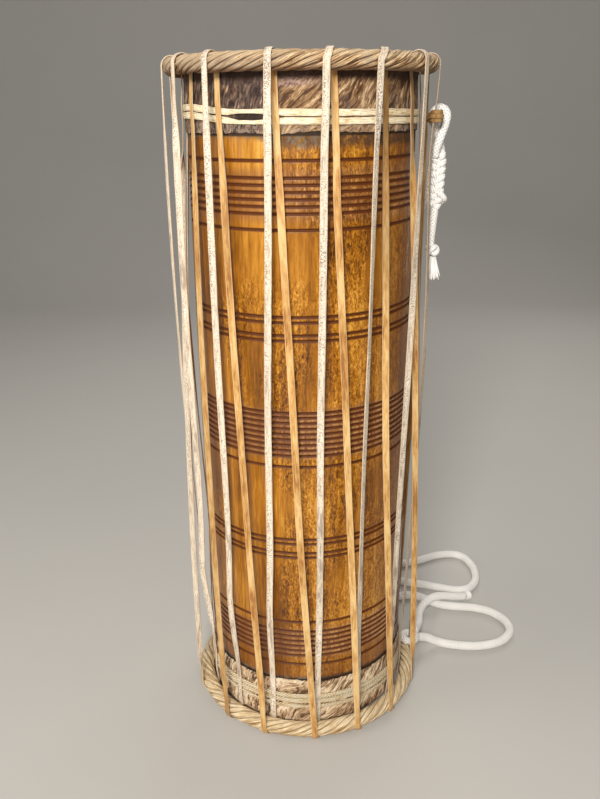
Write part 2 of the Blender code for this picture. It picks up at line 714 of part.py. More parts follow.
def build():
    """Makes every piece of the drum."""
    for old in list(bpy.data.objects):
        bpy.data.objects.remove(old)
    wood = material("honey_varnished_wood", (0.52, 0.24, 0.03), 0.28)
    hide = material("mottled_hide", (0.23, 0.16, 0.11), 0.7)
    hoop_hide = material("twisted_hide", (0.50, 0.32, 0.14), 0.6)
    fibre = material("pale_fibre", (0.66, 0.58, 0.33), 0.8)
    thong = material("pale_thong", (0.72, 0.60, 0.42), 0.55)
    cotton = material("white_cotton", (0.82, 0.79, 0.74), 0.9)

    make_shell(wood)
    make_head("top_head", 1, TOP_SKIRT_REACH, hide)
    make_head("bottom_head", -1, BOTTOM_SKIRT_REACH, hide)
    make_hoop("top_hoop", DRUM_HEIGHT - HOOP_RISE, hoop_hide)
    make_hoop("bottom_hoop", HOOP_RISE, hoop_hide)
    top_binding_radius = make_binding(
        "top_binding", DRUM_HEIGHT - TOP_BINDING_DISTANCE,
        TOP_BINDING_WIDTH, TOP_BINDING_PITCH, TOP_BINDING_TURNS, fibre)
    bottom_binding_radius = make_binding(
        "bottom_binding", BOTTOM_BINDING_DISTANCE,
        BOTTOM_BINDING_WIDTH, BOTTOM_BINDING_PITCH, BOTTOM_BINDING_TURNS, fibre)
    lacing = 0
    for index in range(LACE_COUNT):
        lacing += make_lace(index, top_binding_radius, bottom_binding_radius, thong)
    eye_left = make_eye(cotton)
    make_sinnet(cotton)
    end_length = make_hanging_end(cotton)
    make_tie(eye_left, thong)
    make_hitch(cotton)
    hanging, hanging_length = smooth_route(HANGING_ROUTE, ROPE_STEP)
    tube("rope_hanging", hanging, ROPE_DIAMETER, cotton)
    tail, tail_length = smooth_route(TAIL_ROUTE, ROPE_STEP / 2)
    tube("rope_tail", tail, ROPE_DIAMETER, cotton)
    make_whipping(tail, cotton)
    print(f"Lacing thong: {lacing:.2f} m in {LACE_COUNT} lengths")
    print(f"Rope: {hanging_length:.3f} m hanging and lying, {tail_length:.3f} m of free end, "
          f"{end_length:.3f} m under the sinnet")


build()
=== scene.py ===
"""A yak bera, a drum of Sri Lanka's low country, standing on one end on a pale floor.

Metres, +Z up. The drum's axis is Z and the front is on -Y. Azimuths are degrees from the
front, positive towards +X.
"""
import math

import bpy
import numpy as np
from mathutils import Matrix, Vector


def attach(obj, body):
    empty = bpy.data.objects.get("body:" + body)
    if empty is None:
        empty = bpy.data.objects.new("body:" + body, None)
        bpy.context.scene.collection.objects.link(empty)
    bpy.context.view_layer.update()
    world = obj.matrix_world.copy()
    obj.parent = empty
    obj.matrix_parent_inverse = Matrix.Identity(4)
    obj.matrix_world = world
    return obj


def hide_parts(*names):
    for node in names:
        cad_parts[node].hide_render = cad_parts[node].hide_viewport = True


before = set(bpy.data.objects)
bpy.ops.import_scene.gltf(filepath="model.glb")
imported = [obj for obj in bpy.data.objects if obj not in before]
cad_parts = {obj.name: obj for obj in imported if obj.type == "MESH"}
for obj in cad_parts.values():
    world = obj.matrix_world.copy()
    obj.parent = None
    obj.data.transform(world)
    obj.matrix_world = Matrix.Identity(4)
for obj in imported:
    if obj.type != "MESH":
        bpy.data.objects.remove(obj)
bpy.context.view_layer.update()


# The view: someone stands in front of the drum and looks down on its upper rim. The picture
# is upright, so the lens is given for its long side.
VIEW_PLACE = (0.0068, -0.8258, 0.6538)
VIEW_DOWN = 0.3506
VIEW_LEFT = 0.0137
VIEW_ROLL = -0.0123
VIEW_SENSOR = 36
VIEW_LENS = 36.05
VIEW_NEAREST = 0.01

lens = bpy.data.cameras.new("view")
lens.sensor_width = VIEW_SENSOR
lens.lens = VIEW_LENS
lens.clip_start = VIEW_NEAREST
camera = bpy.data.objects.new("view", lens)
bpy.context.scene.collection.objects.link(camera)
camera.matrix_world = (
    Matrix.Translation(VIEW_PLACE)
    @ Matrix.Rotation(VIEW_LEFT, 4, "Z")
    @ Matrix.Rotation(math.pi / 2 - VIEW_DOWN, 4, "X")
    @ Matrix.Rotation(VIEW_ROLL, 4, "Z")
)
bpy.context.scene.camera = camera
bpy.context.scene.view_settings.view_transform = "Standard"


# The studio: a pale floor that curves up into a wall, and three soft lamps under a pale even
# sky. The strongest lamp stands in front on the left.
SKY_COLOUR = (1.0, 0.965, 0.915, 1)
LAMP_COLOUR = (1.0, 0.955, 0.885)
SKY_STRENGTH = 0.22
LAMPS = (
    ("front_lamp", (-0.28, -1.85, 1.45), 0.55, 50),
    ("side_lamp", (-1.7, -0.6, 1.0), 1.0, 9),
    ("back_lamp", (0.5, 1.5, 1.6), 1.3, 12),
)
LAMPS_AIM = (0, 0, 0.35)
FLOOR_SIZE = 12
FLOOR_DROP = 0.0002
COVE_START = 1.9
COVE_RADIUS = 1.2
COVE_STEPS = 12
WALL_HEIGHT = 4
FLOOR_SHADES = (0.50, 0.49, 0.47), (0.54, 0.53, 0.51)


class Field:
    """A number or a colour that varies over a surface, held as a socket of its material."""

    def __init__(self, finish, socket):
        self.finish = finish
        self.socket = socket

    def combine(self, operation, *values):
        """A Math node on these values."""
        return self.finish.node("ShaderNodeMath", {"operation": operation}, dict(enumerate(values)))

    def __add__(self, other):
        return self.combine("ADD", self, other)

    def __radd__(self, other):
        return self.combine("ADD", other, self)

    def __sub__(self, other):
        return self.combine("SUBTRACT", self, other)

    def __rsub__(self, other):
        return self.combine("SUBTRACT", other, self)

    def __mul__(self, other):
        return self.combine("MULTIPLY", self, other)

    def __abs__(self):
        return self.combine("ABSOLUTE", self)

    def wave(self, kind):
        """Its SINE or COSINE."""
        return self.combine(kind, self)

    def highest(self, other):
        """The larger of two fields."""
        return self.combine("MAXIMUM", self, other)

    def step(self, low, high):
        """Nought below low and one above high, with a smooth rise between."""
        values = {0: self, 1: low, 2: high, 3: 0, 4: 1}
        return self.finish.node("ShaderNodeMapRange", {"interpolation_type": "SMOOTHSTEP"}, values)


class Finish:
    """A surface's material, whose varying parts are built up as fields."""

    def __init__(self, name, **constants):
        self.material = bpy.data.materials.new(name)
        self.material.use_nodes = True
        self.tree = self.material.node_tree
        self.shader = self.tree.nodes["Principled BSDF"]
        for word, value in constants.items():
            self.shader.inputs[word.replace("_", " ")].default_value = value

    def node(self, kind, settings=None, inputs=None, output=0):
        """Adds a node with its settings, feeds its sockets and gives one of its outputs."""
        node = self.tree.nodes.new(kind)
        for word, value in (settings or {}).items():
            if word == "stops":
                ramp = node.color_ramp
                ramp.elements[0].position, ramp.elements[0].color = value[0]
                ramp.elements[1].position, ramp.elements[1].color = value[-1]
                for position, colour in value[1:-1]:
                    ramp.elements.new(position).color = colour
            else:
                setattr(node, word, value)
        for word, value in (inputs or {}).items():
            if isinstance(value, Field):
                self.tree.links.new(value.socket, node.inputs[word])
            else:
                node.inputs[word].default_value = value
        return Field(self, node.outputs[output])

    def spot(self, stretch=(1, 1, 1), turn=(0, 0, 0)):
        """The place on the object, in metres, stretched along each axis."""
        return self.stretched(self.node("ShaderNodeTexCoord", output="Object"), stretch, turn)

    def strip(self):
        """The place on a strip: across it on X and along it on Y, both from nought to one."""
        return self.node("ShaderNodeTexCoord", output="UV")

    def stretched(self, place, stretch, turn=(0, 0, 0)):
        """A place stretched along each axis."""
        inputs = {"Vector": place, "Rotation": turn, "Scale": stretch}
        return self.node("ShaderNodeMapping", None, inputs)

    def axis(self, letter, place=None):
        """One axis of a place, which is the place on the object unless another is given."""
        return self.node("ShaderNodeSeparateXYZ", None, {0: place or self.spot()}, letter)

    def shifted(self, place, by):
        """A place moved by a vector."""
        return self.node("ShaderNodeVectorMath", {"operation": "ADD"}, {0: place, 1: by})

    def vector(self, x, y, z):
        """Three numbers as one vector."""
        return self.node("ShaderNodeCombineXYZ", None, {0: x, 1: y, 2: z})

    def painted(self, name):
        """A number stored on the mesh."""
        return self.node("ShaderNodeAttribute", {"attribute_name": name}, None, "Fac")

    def mottle(self, place, scale=1.0, detail=4.0, roughness=0.55, distortion=0.0):
        """Soft irregular patches, from nought to one."""
        inputs = {"Vector": place, "Scale": scale, "Detail": detail,
                  "Roughness": roughness, "Distortion": distortion}
        return self.node("ShaderNodeTexNoise", None, inputs)

    def shades(self, field, *stops):
        """Colours along a field."""
        stops = [(position, (*colour, 1)) for position, colour in stops]
        return self.node("ShaderNodeValToRGB", {"stops": stops}, {"Fac": field})

    def blend(self, share, first, second):
        """First where share is nought and second where it is one."""
        inputs = {0: share}
        for socket, value in ((6, first), (7, second)):
            inputs[socket] = value if isinstance(value, Field) else (*value, 1)
        return self.node("ShaderNodeMix", {"data_type": "RGBA"}, inputs, 2)

    def feed(self, word, field):
        """Feeds a field to the shader."""
        self.tree.links.new(field.socket, self.shader.inputs[word])

    def relief(self, field, depth):
        """Fine relief, whose highest places are where the field is one."""
        inputs = {"Strength": 1.0, "Distance": depth, "Height": field}
        self.feed("Normal", self.node("ShaderNodeBump", None, inputs, "Normal"))


def single_out():
    """Leaves nothing selected, so that the next operator acts on what it adds."""
    bpy.ops.object.select_all(action="DESELECT")


single_out()
bpy.ops.mesh.primitive_plane_add(size=FLOOR_SIZE)
floor = bpy.context.object
floor.name = "floor"
bpy.ops.object.mode_set(mode="EDIT")
bpy.ops.mesh.select_all(action="DESELECT")
bpy.ops.object.mode_set(mode="OBJECT")
for corner in floor.data.vertices:
    corner.co.y = COVE_START if corner.co.y > 0 else corner.co.y
    corner.co.z = -FLOOR_DROP
for edge in floor.data.edges:
    edge.select = all(floor.data.vertices[end].co.y > 0 for end in edge.vertices)
bpy.ops.object.mode_set(mode="EDIT")
bpy.ops.mesh.select_mode(type="EDGE")
bend = math.radians(90 / COVE_STEPS)
rise = 2 * COVE_RADIUS * math.sin(bend / 2)
for step in range(COVE_STEPS):
    tilt = bend * (step + 0.5)
    bpy.ops.mesh.extrude_edges_move(
        TRANSFORM_OT_translate={"value": (0, rise * math.cos(tilt), rise * math.sin(tilt))})
bpy.ops.mesh.extrude_edges_move(TRANSFORM_OT_translate={"value": (0, 0, WALL_HEIGHT)})
bpy.ops.mesh.select_mode(type="VERT")
bpy.ops.object.mode_set(mode="OBJECT")
bpy.ops.object.shade_smooth()
floor_finish = Finish("pale_floor", Roughness=0.6, Specular_IOR_Level=0.3)
floor_finish.feed("Base Color", floor_finish.blend(
    floor_finish.mottle(floor_finish.spot(), 3.0), *FLOOR_SHADES))
floor.data.materials.append(floor_finish.material)

for lamp_name, place, size, power in LAMPS:
    light = bpy.data.lights.new(lamp_name, "AREA")
    light.size = size
    light.energy = power
    light.color = LAMP_COLOUR
    lamp = bpy.data.objects.new(lamp_name, light)
    bpy.context.scene.collection.objects.link(lamp)
    lamp.location = place
    lamp.rotation_mode = "QUATERNION"
    lamp.rotation_quaternion = (Vector(LAMPS_AIM) - Vector(place)).to_track_quat("-Z", "Y")
sky = bpy.data.worlds.new("sky")
sky.use_nodes = True
sky.node_tree.nodes["Background"].inputs["Color"].default_value = SKY_COLOUR
sky.node_tree.nodes["Background"].inputs["Strength"].default_value = SKY_STRENGTH
bpy.context.scene.world = sky


# The shell: one log of a pale yellow hardwood, turned on a lathe, bored through and grooved.
# Each groove is burnt dark, and the outside is oiled and varnished to a honey amber.
DRUM_HEIGHT = 0.700
SHELL_RADIUS = 0.1120
SHELL_SWELL = 0.0017
SHELL_WALL = 0.013
SHELL_END = 0.0098
SHELL_EDGE_ROUND = 0.004
SHELL_END_RADIUS = SHELL_RADIUS - SHELL_SWELL
GROOVE_WIDTH = 0.0034
GROOVE_DEPTH = 0.0011
GROOVE_CUTS = 4
# How burnt the wood is at some distances from a groove's middle
BURN_REACH = (0, 0.0008, 0.0014, 0.0020, 0.0027, 0.0034)
BURN_SHARE = (1.0, 0.94, 0.62, 0.24, 0.06, 0)
PLAIN_SPACING = 0.0068
GROOVE_SPACING = 0.0061
FINE_GROOVE_SPACING = 0.0057
PAIR_SPACING = 0.0052
GROOVE_GROUPS = (
    (0.6104, 1, GROOVE_SPACING),
    (0.5806, 6, GROOVE_SPACING),
    (0.5512, 1, GROOVE_SPACING),
    (0.4697, 2, PAIR_SPACING),
    (0.4523, 2, PAIR_SPACING),
    (0.3781, 1, GROOVE_SPACING),
    (0.3534, 8, FINE_GROOVE_SPACING),
    (0.3217, 1, GROOVE_SPACING),
    (0.2378, 2, PAIR_SPACING),
    (0.2222, 2, PAIR_SPACING),
    (0.1409, 1, GROOVE_SPACING),
    (0.1139, 6, GROOVE_SPACING),
    (0.0873, 1, GROOVE_SPACING),
)
TURNING_STEPS = 200


def shell_radius(height):
    """The wood's outer radius at a height, a little fuller at the middle."""
    from_middle = (2 * height - DRUM_HEIGHT) / (DRUM_HEIGHT - 2 * SHELL_END)
    return SHELL_RADIUS - SHELL_SWELL * from_middle ** 2


def turned_piece(name, outline, steps):
    """A piece turned about the drum's axis, from an outline of radii and heights."""
    single_out()
    radius, height = outline[0]
    bpy.ops.mesh.primitive_plane_add(size=0.001)
    piece = bpy.context.object
    piece.name = name
    bpy.ops.object.mode_set(mode="EDIT")
    bpy.ops.mesh.merge(type="CENTER")
    bpy.ops.transform.translate(value=(radius, 0, height))
    for next_radius, next_height in outline[1:]:
        step = (next_radius - radius, 0, next_height - height)
        bpy.ops.mesh.extrude_vertices_move(TRANSFORM_OT_translate={"value": step})
        radius, height = next_radius, next_height
    bpy.ops.mesh.select_all(action="SELECT")
    bpy.ops.mesh.spin(steps=steps, angle=math.tau, center=(0, 0, 0), axis=(0, 0, 1))
    bpy.ops.mesh.select_all(action="SELECT")
    bpy.ops.mesh.remove_doubles(threshold=0.000002)
    bpy.ops.mesh.normals_make_consistent(inside=False)
    bpy.ops.object.mode_set(mode="OBJECT")
    return piece


def dressed(piece, finish, slot, *nodes, smooth=40):
    """Gives a piece its finish, and puts it on the drum in place of its plain solids."""
    single_out()
    piece.select_set(True)
    bpy.context.view_layer.objects.active = piece
    bpy.ops.object.shade_smooth_by_angle(angle=math.radians(smooth))
    for coat in (finish if isinstance(finish, (list, tuple)) else [finish]):
        piece.data.materials.append(coat.material)
    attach(piece, "root")
    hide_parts(*nodes)
    return piece


groove_heights = []
for middle, count, spacing in GROOVE_GROUPS:
    groove_heights += [middle + spacing * ((count - 1) / 2 - index) for index in range(count)]

outside = []
for groove in groove_heights:
    for part in range(-GROOVE_CUTS, GROOVE_CUTS + 1):
        drop = GROOVE_DEPTH * (0.5 + 0.5 * math.cos(math.pi * part / GROOVE_CUTS)) ** 0.8
        height = groove - part * GROOVE_WIDTH / (2 * GROOVE_CUTS)
        outside.append((shell_radius(height) - drop, height))
    for offset in (-0.0027, -0.0022, 0.0022, 0.0027):
        outside.append((shell_radius(groove + offset), groove + offset))
for step in range(1, 100):
    height = SHELL_END + SHELL_EDGE_ROUND + step * PLAIN_SPACING
    if height < DRUM_HEIGHT - SHELL_END - SHELL_EDGE_ROUND - 0.002:
        if min(abs(height - groove) for groove in groove_heights) > 0.0032:
            outside.append((shell_radius(height), height))
outside.sort(key=lambda point: -point[1])
bore = SHELL_RADIUS - SHELL_WALL
rounding = [math.radians(15 * step) for step in range(7)]
upper_edge = [(SHELL_END_RADIUS - SHELL_EDGE_ROUND * (1 - math.sin(a)),
               DRUM_HEIGHT - SHELL_END - SHELL_EDGE_ROUND * (1 - math.cos(a))) for a in rounding]
lower_edge = [(radius, DRUM_HEIGHT - height) for radius, height in reversed(upper_edge)]
shell_outline = [(bore, DRUM_HEIGHT - SHELL_END), *upper_edge, *outside, *lower_edge,
                 (bore, SHELL_END)]
shell = turned_piece("shell_wood", [*shell_outline, shell_outline[0]], TURNING_STEPS)

places = np.empty(len(shell.data.vertices) * 3)
shell.data.vertices.foreach_get("co", places)
places = places.reshape(-1, 3)
from_groove = np.abs(places[:, 2:] - np.array(groove_heights)).min(axis=1)
burn = np.interp(from_groove, BURN_REACH, BURN_SHARE)
burn[np.hypot(places[:, 0], places[:, 1]) < SHELL_RADIUS - 0.006] = 0
burnt = shell.data.attributes.new("burnt", "FLOAT", "POINT")
burnt.data.foreach_set("value", burn.astype(np.float32))

wood = Finish("honey_varnish", Coat_Roughness=0.15, Specular_IOR_Level=0.3)
grain = wood.mottle(wood.spot((62, 62, 2.4)), 1.0, 6.0, 0.62, 0.8)
fibre = wood.mottle(wood.spot((400, 400, 40)), 1.0, 4.0, 0.65, 0.5)
fleck = wood.mottle(wood.spot((400, 400, 190)), 1.0, 2.5, 0.6, 1.2)
clouds = wood.mottle(wood.spot((15, 15, 7), (0.2, 0.1, 0)), 1.0, 3.0, 0.5)
height = wood.axis("Z")
ragged_height = height + (wood.mottle(wood.spot((80, 80, 36)), 1.0, 4.0, 0.65) - 0.5) * 0.012
from_side = wood.axis("X")
figured = wood.mottle(wood.spot((22, 22, 9), (0.1, 0.3, 0)), 1.0, 2.0, 0.5)
figured = (figured + from_side.step(-0.055, 0.005) * 0.22).step(0.54, 0.70)
tone = (grain * 0.42 + fibre * 0.30 + clouds * 0.38 + (fleck - 0.5) * figured * 0.62 + 0.10) * 0.769
honey = wood.shades(tone, (0.38, (0.070, 0.019, 0.0008)), (0.445, (0.190, 0.065, 0.0022)),
                    (0.50, (0.335, 0.124, 0.0052)), (0.56, (0.510, 0.218, 0.019)),
                    (0.62, (0.680, 0.352, 0.062)))
# Painted shade on the drum's left and right flanks, where the light falls off, and the wood darker
# towards the bottom.
flank_shade_and_dark_foot = from_side.step(0.045, 0.112) * 0.55 + (1 - from_side.step(-0.112, -0.080)) * 0.35
flank_shade_and_dark_foot = flank_shade_and_dark_foot + (1 - height.step(0.06, 0.15)) * 0.42
honey = wood.blend(flank_shade_and_dark_foot, honey, (0.165, 0.042, 0.0020))
warmth = 0.0
for low, high, strength in ((0.558, 0.604, 0.55), (0.331, 0.381, 0.90), (0.096, 0.133, 0.80)):
    above_foot = ragged_height.step(low - 0.004, low + 0.005)
    above_top = ragged_height.step(high - 0.005, high + 0.004)
    warmth = above_foot * (1 - above_top) * strength + warmth
ridges = wood.shades(tone, (0.40, (0.130, 0.045, 0.010)), (0.50, (0.320, 0.140, 0.046)),
                     (0.60, (0.540, 0.290, 0.120)))
redder = (1 - from_side.step(-0.055, 0.005)) * clouds.step(0.35, 0.60) * 0.65
ridges = wood.blend(redder, ridges, (0.150, 0.036, 0.0060))
honey = wood.blend(warmth, honey, ridges)
groove_burn = wood.painted("burnt") + (fibre - 0.5) * 0.4
honey = wood.blend(groove_burn.step(0.05, 0.90) * 0.98, honey, (0.095, 0.022, 0.0012))
soot_edge = height + (wood.mottle(wood.spot((34, 34, 30)), 1.0, 3.0, 0.55) - 0.5) * 0.016
soot_edge = soot_edge - (1 - from_side.step(-0.050, -0.022)) * 0.0065
soot_patch = wood.mottle(wood.spot((190, 190, 120)), 1.0, 4.0, 0.65)
soot = soot_edge.step(0.6185, 0.6255) * (0.60 + soot_patch.step(0.35, 0.60) * 0.40)
# A dark band on the wood just above the lower hem.
low_dark_band = 1 - (height + (fibre - 0.5) * 0.008).step(0.0675, 0.0725)
stain_and_low_band = soot.highest(low_dark_band)
soot_shade = wood.blend(from_side.step(0.005, 0.030), (0.170, 0.135, 0.105), (0.085, 0.042, 0.022))
band_colour = wood.blend(soot_patch.step(0.40, 0.62), (0.042, 0.022, 0.012), soot_shade)
honey = wood.blend(stain_and_low_band * 0.95, honey, band_colour)
# Painted shadow: a thin dark line on the wood along each hem's edge.
hem_shadow = height.step(0.6296, 0.6312).highest(1 - height.step(0.0665, 0.0690))
honey = wood.blend(hem_shadow * 0.9, honey, (0.020, 0.0095, 0.004))
wood.feed("Base Color", honey)
wood.feed("Roughness", 0.30 + fibre * 0.20 + stain_and_low_band * 0.35 + groove_burn * 0.2)
wood.feed("Coat Weight", (1 - groove_burn.step(0.0, 0.6)) * (1 - stain_and_low_band) * 0.33)
wood.relief(fibre * 0.5 + fleck * 0.6 + grain * 0.3, 0.0006)
dressed(shell, wood, "shell_wood", "drum_shell", smooth=50)


# The carrying rope: soft white cotton, braided from sixteen yarns. It hangs down behind the
# drum, lies on the floor in two loops and comes back to the hitch at the drum's foot. Its free
# end goes on from the hitch over the other stretch.
ROPE_RADIUS = 0.0055
ROPE_STATION = 0.0007
# Yarns one way, the length of one crossing, and how deep the braid is cut
ROPE_BRAID = 8, 0.0041, 0.22
COTTON_COLOUR = (0.95, 0.94, 0.92)
# The colour of the painted shade in the braid's crevices
COTTON_SHADOW = (0.33, 0.31, 0.29)
ROPE_ON_FLOOR = 0.0058
FLOOR_LOOPS = (
    (0.0805, 0.1520), (0.0790, 0.1740), (0.0870, 0.1960), (0.1050, 0.2120), (0.1320, 0.2195),
    (0.1660, 0.2300), (0.1890, 0.2420), (0.2070, 0.2480), (0.2250, 0.2485), (0.2390, 0.2390),
    (0.2460, 0.2210), (0.2480, 0.2020), (0.2460, 0.1840), (0.2400, 0.1680), (0.2290, 0.1560),
    (0.2130, 0.1520), (0.1980, 0.1560), (0.1830, 0.1610), (0.1670, 0.1665), (0.1500, 0.1710),
    (0.1350, 0.1765), (0.1200, 0.1785), (0.1060, 0.1730), (0.0985, 0.1600), (0.1010, 0.1455),
    (0.1130, 0.1370), (0.1270, 0.1370), (0.1410, 0.1400), (0.1560, 0.1370), (0.1700, 0.1260),
    (0.1820, 0.1180), (0.1980, 0.1130), (0.2170, 0.1110), (0.2340, 0.1075), (0.2500, 0.0990),
    (0.2620, 0.0850), (0.2670, 0.0690), (0.2640, 0.0530), (0.2540, 0.0400), (0.2400, 0.0315),
    (0.2230, 0.0270), (0.2060, 0.0265), (0.1880, 0.0290),
)
HANGING_ROUTE = (
    (0.1335, 0.0052, 0.6060), (0.1356, 0.0165, 0.6050), (0.1368, 0.0280, 0.6010),
    (0.1366, 0.0390, 0.5930), (0.1345, 0.0490, 0.5810), (0.1310, 0.0578, 0.5650),
    (0.1225, 0.0720, 0.5250), (0.1140, 0.0835, 0.4800), (0.1085, 0.0895, 0.4300),
    (0.1010, 0.0965, 0.3075), (0.0965, 0.1010, 0.1750), (0.0940, 0.1040, 0.0750),
    (0.0925, 0.1085, 0.0420), (0.0905, 0.1170, 0.0190), (0.0865, 0.1330, 0.0075),
    *((x, y, ROPE_ON_FLOOR) for x, y in FLOOR_LOOPS),
    (0.1740, 0.0320, 0.0065), (0.1630, 0.0320, 0.0105), (0.1530, 0.0290, 0.0170),
    (0.1412, 0.0235, 0.0223),
)
TAIL_ROUTE = (
    (0.1385, 0.0358, 0.0236), (0.1395, 0.0450, 0.0190), (0.1425, 0.0570, 0.0105),
    (0.1465, 0.0690, 0.0060), (0.1500, 0.0820, 0.0058), (0.1520, 0.0940, 0.0072),
    (0.1570, 0.1050, 0.0105), (0.1660, 0.1135, 0.0150), (0.1780, 0.1190, 0.0176),
    (0.1900, 0.1230, 0.0160), (0.2020, 0.1280, 0.0110), (0.2140, 0.1335, 0.0070),
    (0.2220, 0.1370, 0.0060),
)
# Each stretch is drawn a little into the knot that it comes out of
HANGING_LEAD = (0.1333, 0.0012, 0.6064)
TAIL_LEAD = (0.1362, 0.0318, 0.0242)


def smooth_route(points, station):
    """Evenly spaced points on a smooth curve through a route's own points, and its length."""
    corners = np.array(points, dtype=float)
    padded = np.vstack([2 * corners[0] - corners[1], corners, 2 * corners[-1] - corners[-2]])
    t = np.arange(16)[:, None] / 16
    fine = []
    for a, b, c, d in zip(padded, padded[1:], padded[2:], padded[3:]):
        fine.append(0.5 * (2 * b + (c - a) * t + (2 * a - 5 * b + 4 * c - d) * t ** 2
                           + (3 * b - a - 3 * c + d) * t ** 3))
    fine = np.vstack([*fine, corners[-1]])
    reach = run_lengths(fine)
    wanted = np.linspace(0, reach[-1], max(2, round(reach[-1] / station)) + 1)
    return resampled(fine, reach, wanted), reach[-1]


def run_lengths(route):
    """How far along a route each of its points lies."""
    return np.concatenate([[0], np.cumsum(np.linalg.norm(np.diff(route, axis=0), axis=1))])


def resampled(points, reach, wanted):
    """The points at some lengths along a route."""
    return np.column_stack([np.interp(wanted, reach, column) for column in points.T])


def unit(vectors):
    """Vectors brought to a length of one."""
    return vectors / np.linalg.norm(vectors, axis=-1, keepdims=True)


def directions(route, closed):
    """The direction of a route at each of its points."""
    if not closed:
        return unit(np.gradient(route, axis=0))
    ahead = unit(np.roll(route[:-1], -1, axis=0) - np.roll(route[:-1], 1, axis=0))
    return np.vstack([ahead, ahead[:1]])


def carried_sides(route, closed=False):
    """Two directions across a route at each of its points, carried along it without a twist."""
    ahead = directions(route, closed)
    side = np.cross(ahead[0], (0.13, 0.21, 1.0))
    sides = []
    for along in ahead:
        side = side - along * side.dot(along)
        side = side / np.linalg.norm(side)
        sides.append(side)
    sides = np.array(sides)
    return sides, np.cross(ahead, sides)


def beside(route, sides, station, out, up):
    """Points beside a route's stations, out along one of its two sides and up along the other."""
    return route[station] + sides[0][station] * out[:, None] + sides[1][station] * up[:, None]


def wrapped_skin(name, columns, rows, place, closed=True):
    """A piece whose skin is a grid of quads, which place lays out from each row's number."""
    single_out()
    bpy.ops.mesh.primitive_grid_add(x_subdivisions=columns, y_subdivisions=rows, size=2)
    piece = bpy.context.object
    piece.name = name
    shares = np.empty(len(piece.data.vertices) * 3)
    piece.data.vertices.foreach_get("co", shares)
    shares = (shares.reshape(-1, 3) + 1) / 2
    across, along = shares[:, 0], shares[:, 1]
    points, paints = place(across, along, np.rint(along * rows).astype(int))
    piece.data.vertices.foreach_set("co", np.ascontiguousarray(points, dtype=np.float32).ravel())
    for word, values in paints.items():
        layer = piece.data.attributes.new(word, "FLOAT", "POINT")
        layer.data.foreach_set("value", np.ascontiguousarray(values, dtype=np.float32))
    bpy.ops.object.mode_set(mode="EDIT")
    bpy.ops.mesh.select_all(action="SELECT")
    bpy.ops.mesh.remove_doubles(threshold=0.000003)
    if closed:
        bpy.ops.mesh.select_all(action="SELECT")
        bpy.ops.mesh.fill_holes(sides=0)
    bpy.ops.mesh.select_all(action="SELECT")
    bpy.ops.mesh.normals_make_consistent(inside=False)
    bpy.ops.object.mode_set(mode="OBJECT")
    return piece


def arch(share):
    """A rounded ridge over each whole number's span, from nought at its edges to one."""
    return 1 - (2 * (share - np.floor(share)) - 1) ** 2


def braided(name, route, radius, strands, cell, relief, columns=40, closed=False):
    """A round cord of yarns that go over and under each other as they wind both ways."""
    rows = len(route) - 1
    reach = run_lengths(route)
    if closed:
        cell = reach[-1] / (2 * max(1, round(reach[-1] / cell / 2)))
    sides = carried_sides(route, closed)

    def place(across, along, station):
        round_it = across * strands + 0.003
        one_way = round_it + reach[station] / cell
        other_way = round_it - reach[station] / cell
        over = (np.floor(one_way) + np.floor(other_way)) % 2 == 0
        own = np.where(over, arch(one_way), arch(other_way))
        crossed = np.where(over, arch(other_way), arch(one_way))
        rise = own * (0.55 + 0.45 * crossed)
        reach_out = radius * (1 - relief * (1 - rise))
        if not closed:
            to_end = np.minimum(reach[station], reach[-1] - reach[station]) / radius
            reach_out = reach_out * np.sqrt(1 - (1 - np.clip(to_end * 1.6 + 0.02, 0, 1)) ** 2)
        angle = across * math.tau
        out, up = reach_out * np.cos(angle), reach_out * np.sin(angle)
        return beside(route, sides, station, out, up), {"crevice": 1 - rise}

    return wrapped_skin(name, columns, rows, place)


cotton = Finish("braided_cotton", Roughness=0.88, Sheen_Weight=0.25, Sheen_Roughness=0.5)
crevice = cotton.painted("crevice")
fuzz = cotton.mottle(cotton.spot(), 1900.0, 3.0, 0.6)
worn = cotton.mottle(cotton.spot(), 60.0, 3.0, 0.6)
# Painted shade where the yarns dip under each other.
cotton_colour = cotton.blend(crevice.step(0.42, 0.88) * 0.90, COTTON_COLOUR, COTTON_SHADOW)
cotton_colour = cotton.blend(worn.step(0.50, 0.80) * 0.30, cotton_colour, (0.80, 0.76, 0.68))
cotton.feed("Base Color", cotton_colour)
cotton.relief(fuzz, 0.00025)

hanging_route, hanging_length = smooth_route(HANGING_ROUTE, ROPE_STATION)
joined_route = smooth_route([HANGING_LEAD, *HANGING_ROUTE], ROPE_STATION)[0]
rope_lying = braided("rope_lying", joined_route, ROPE_RADIUS, *ROPE_BRAID)
dressed(rope_lying, cotton, "rope_cotton", "rope_hanging", smooth=180)
tail_route, tail_length = smooth_route(TAIL_ROUTE, ROPE_STATION)
joined_route = smooth_route([TAIL_LEAD, *TAIL_ROUTE], ROPE_STATION)[0]
rope_free_end = braided("rope_free_end", joined_route, ROPE_RADIUS, *ROPE_BRAID)
dressed(rope_free_end, cotton, "rope_cotton", "rope_tail", smooth=180)


# The rope's knotted end: an eye tied to one lace, a plaited stretch under it, one strand that
# goes on down, a stopper knot and a frayed tassel. The cotton is the rope's own.
KNOTTED_RADIUS = 0.0041
KNOTTED_STATION = 0.0006
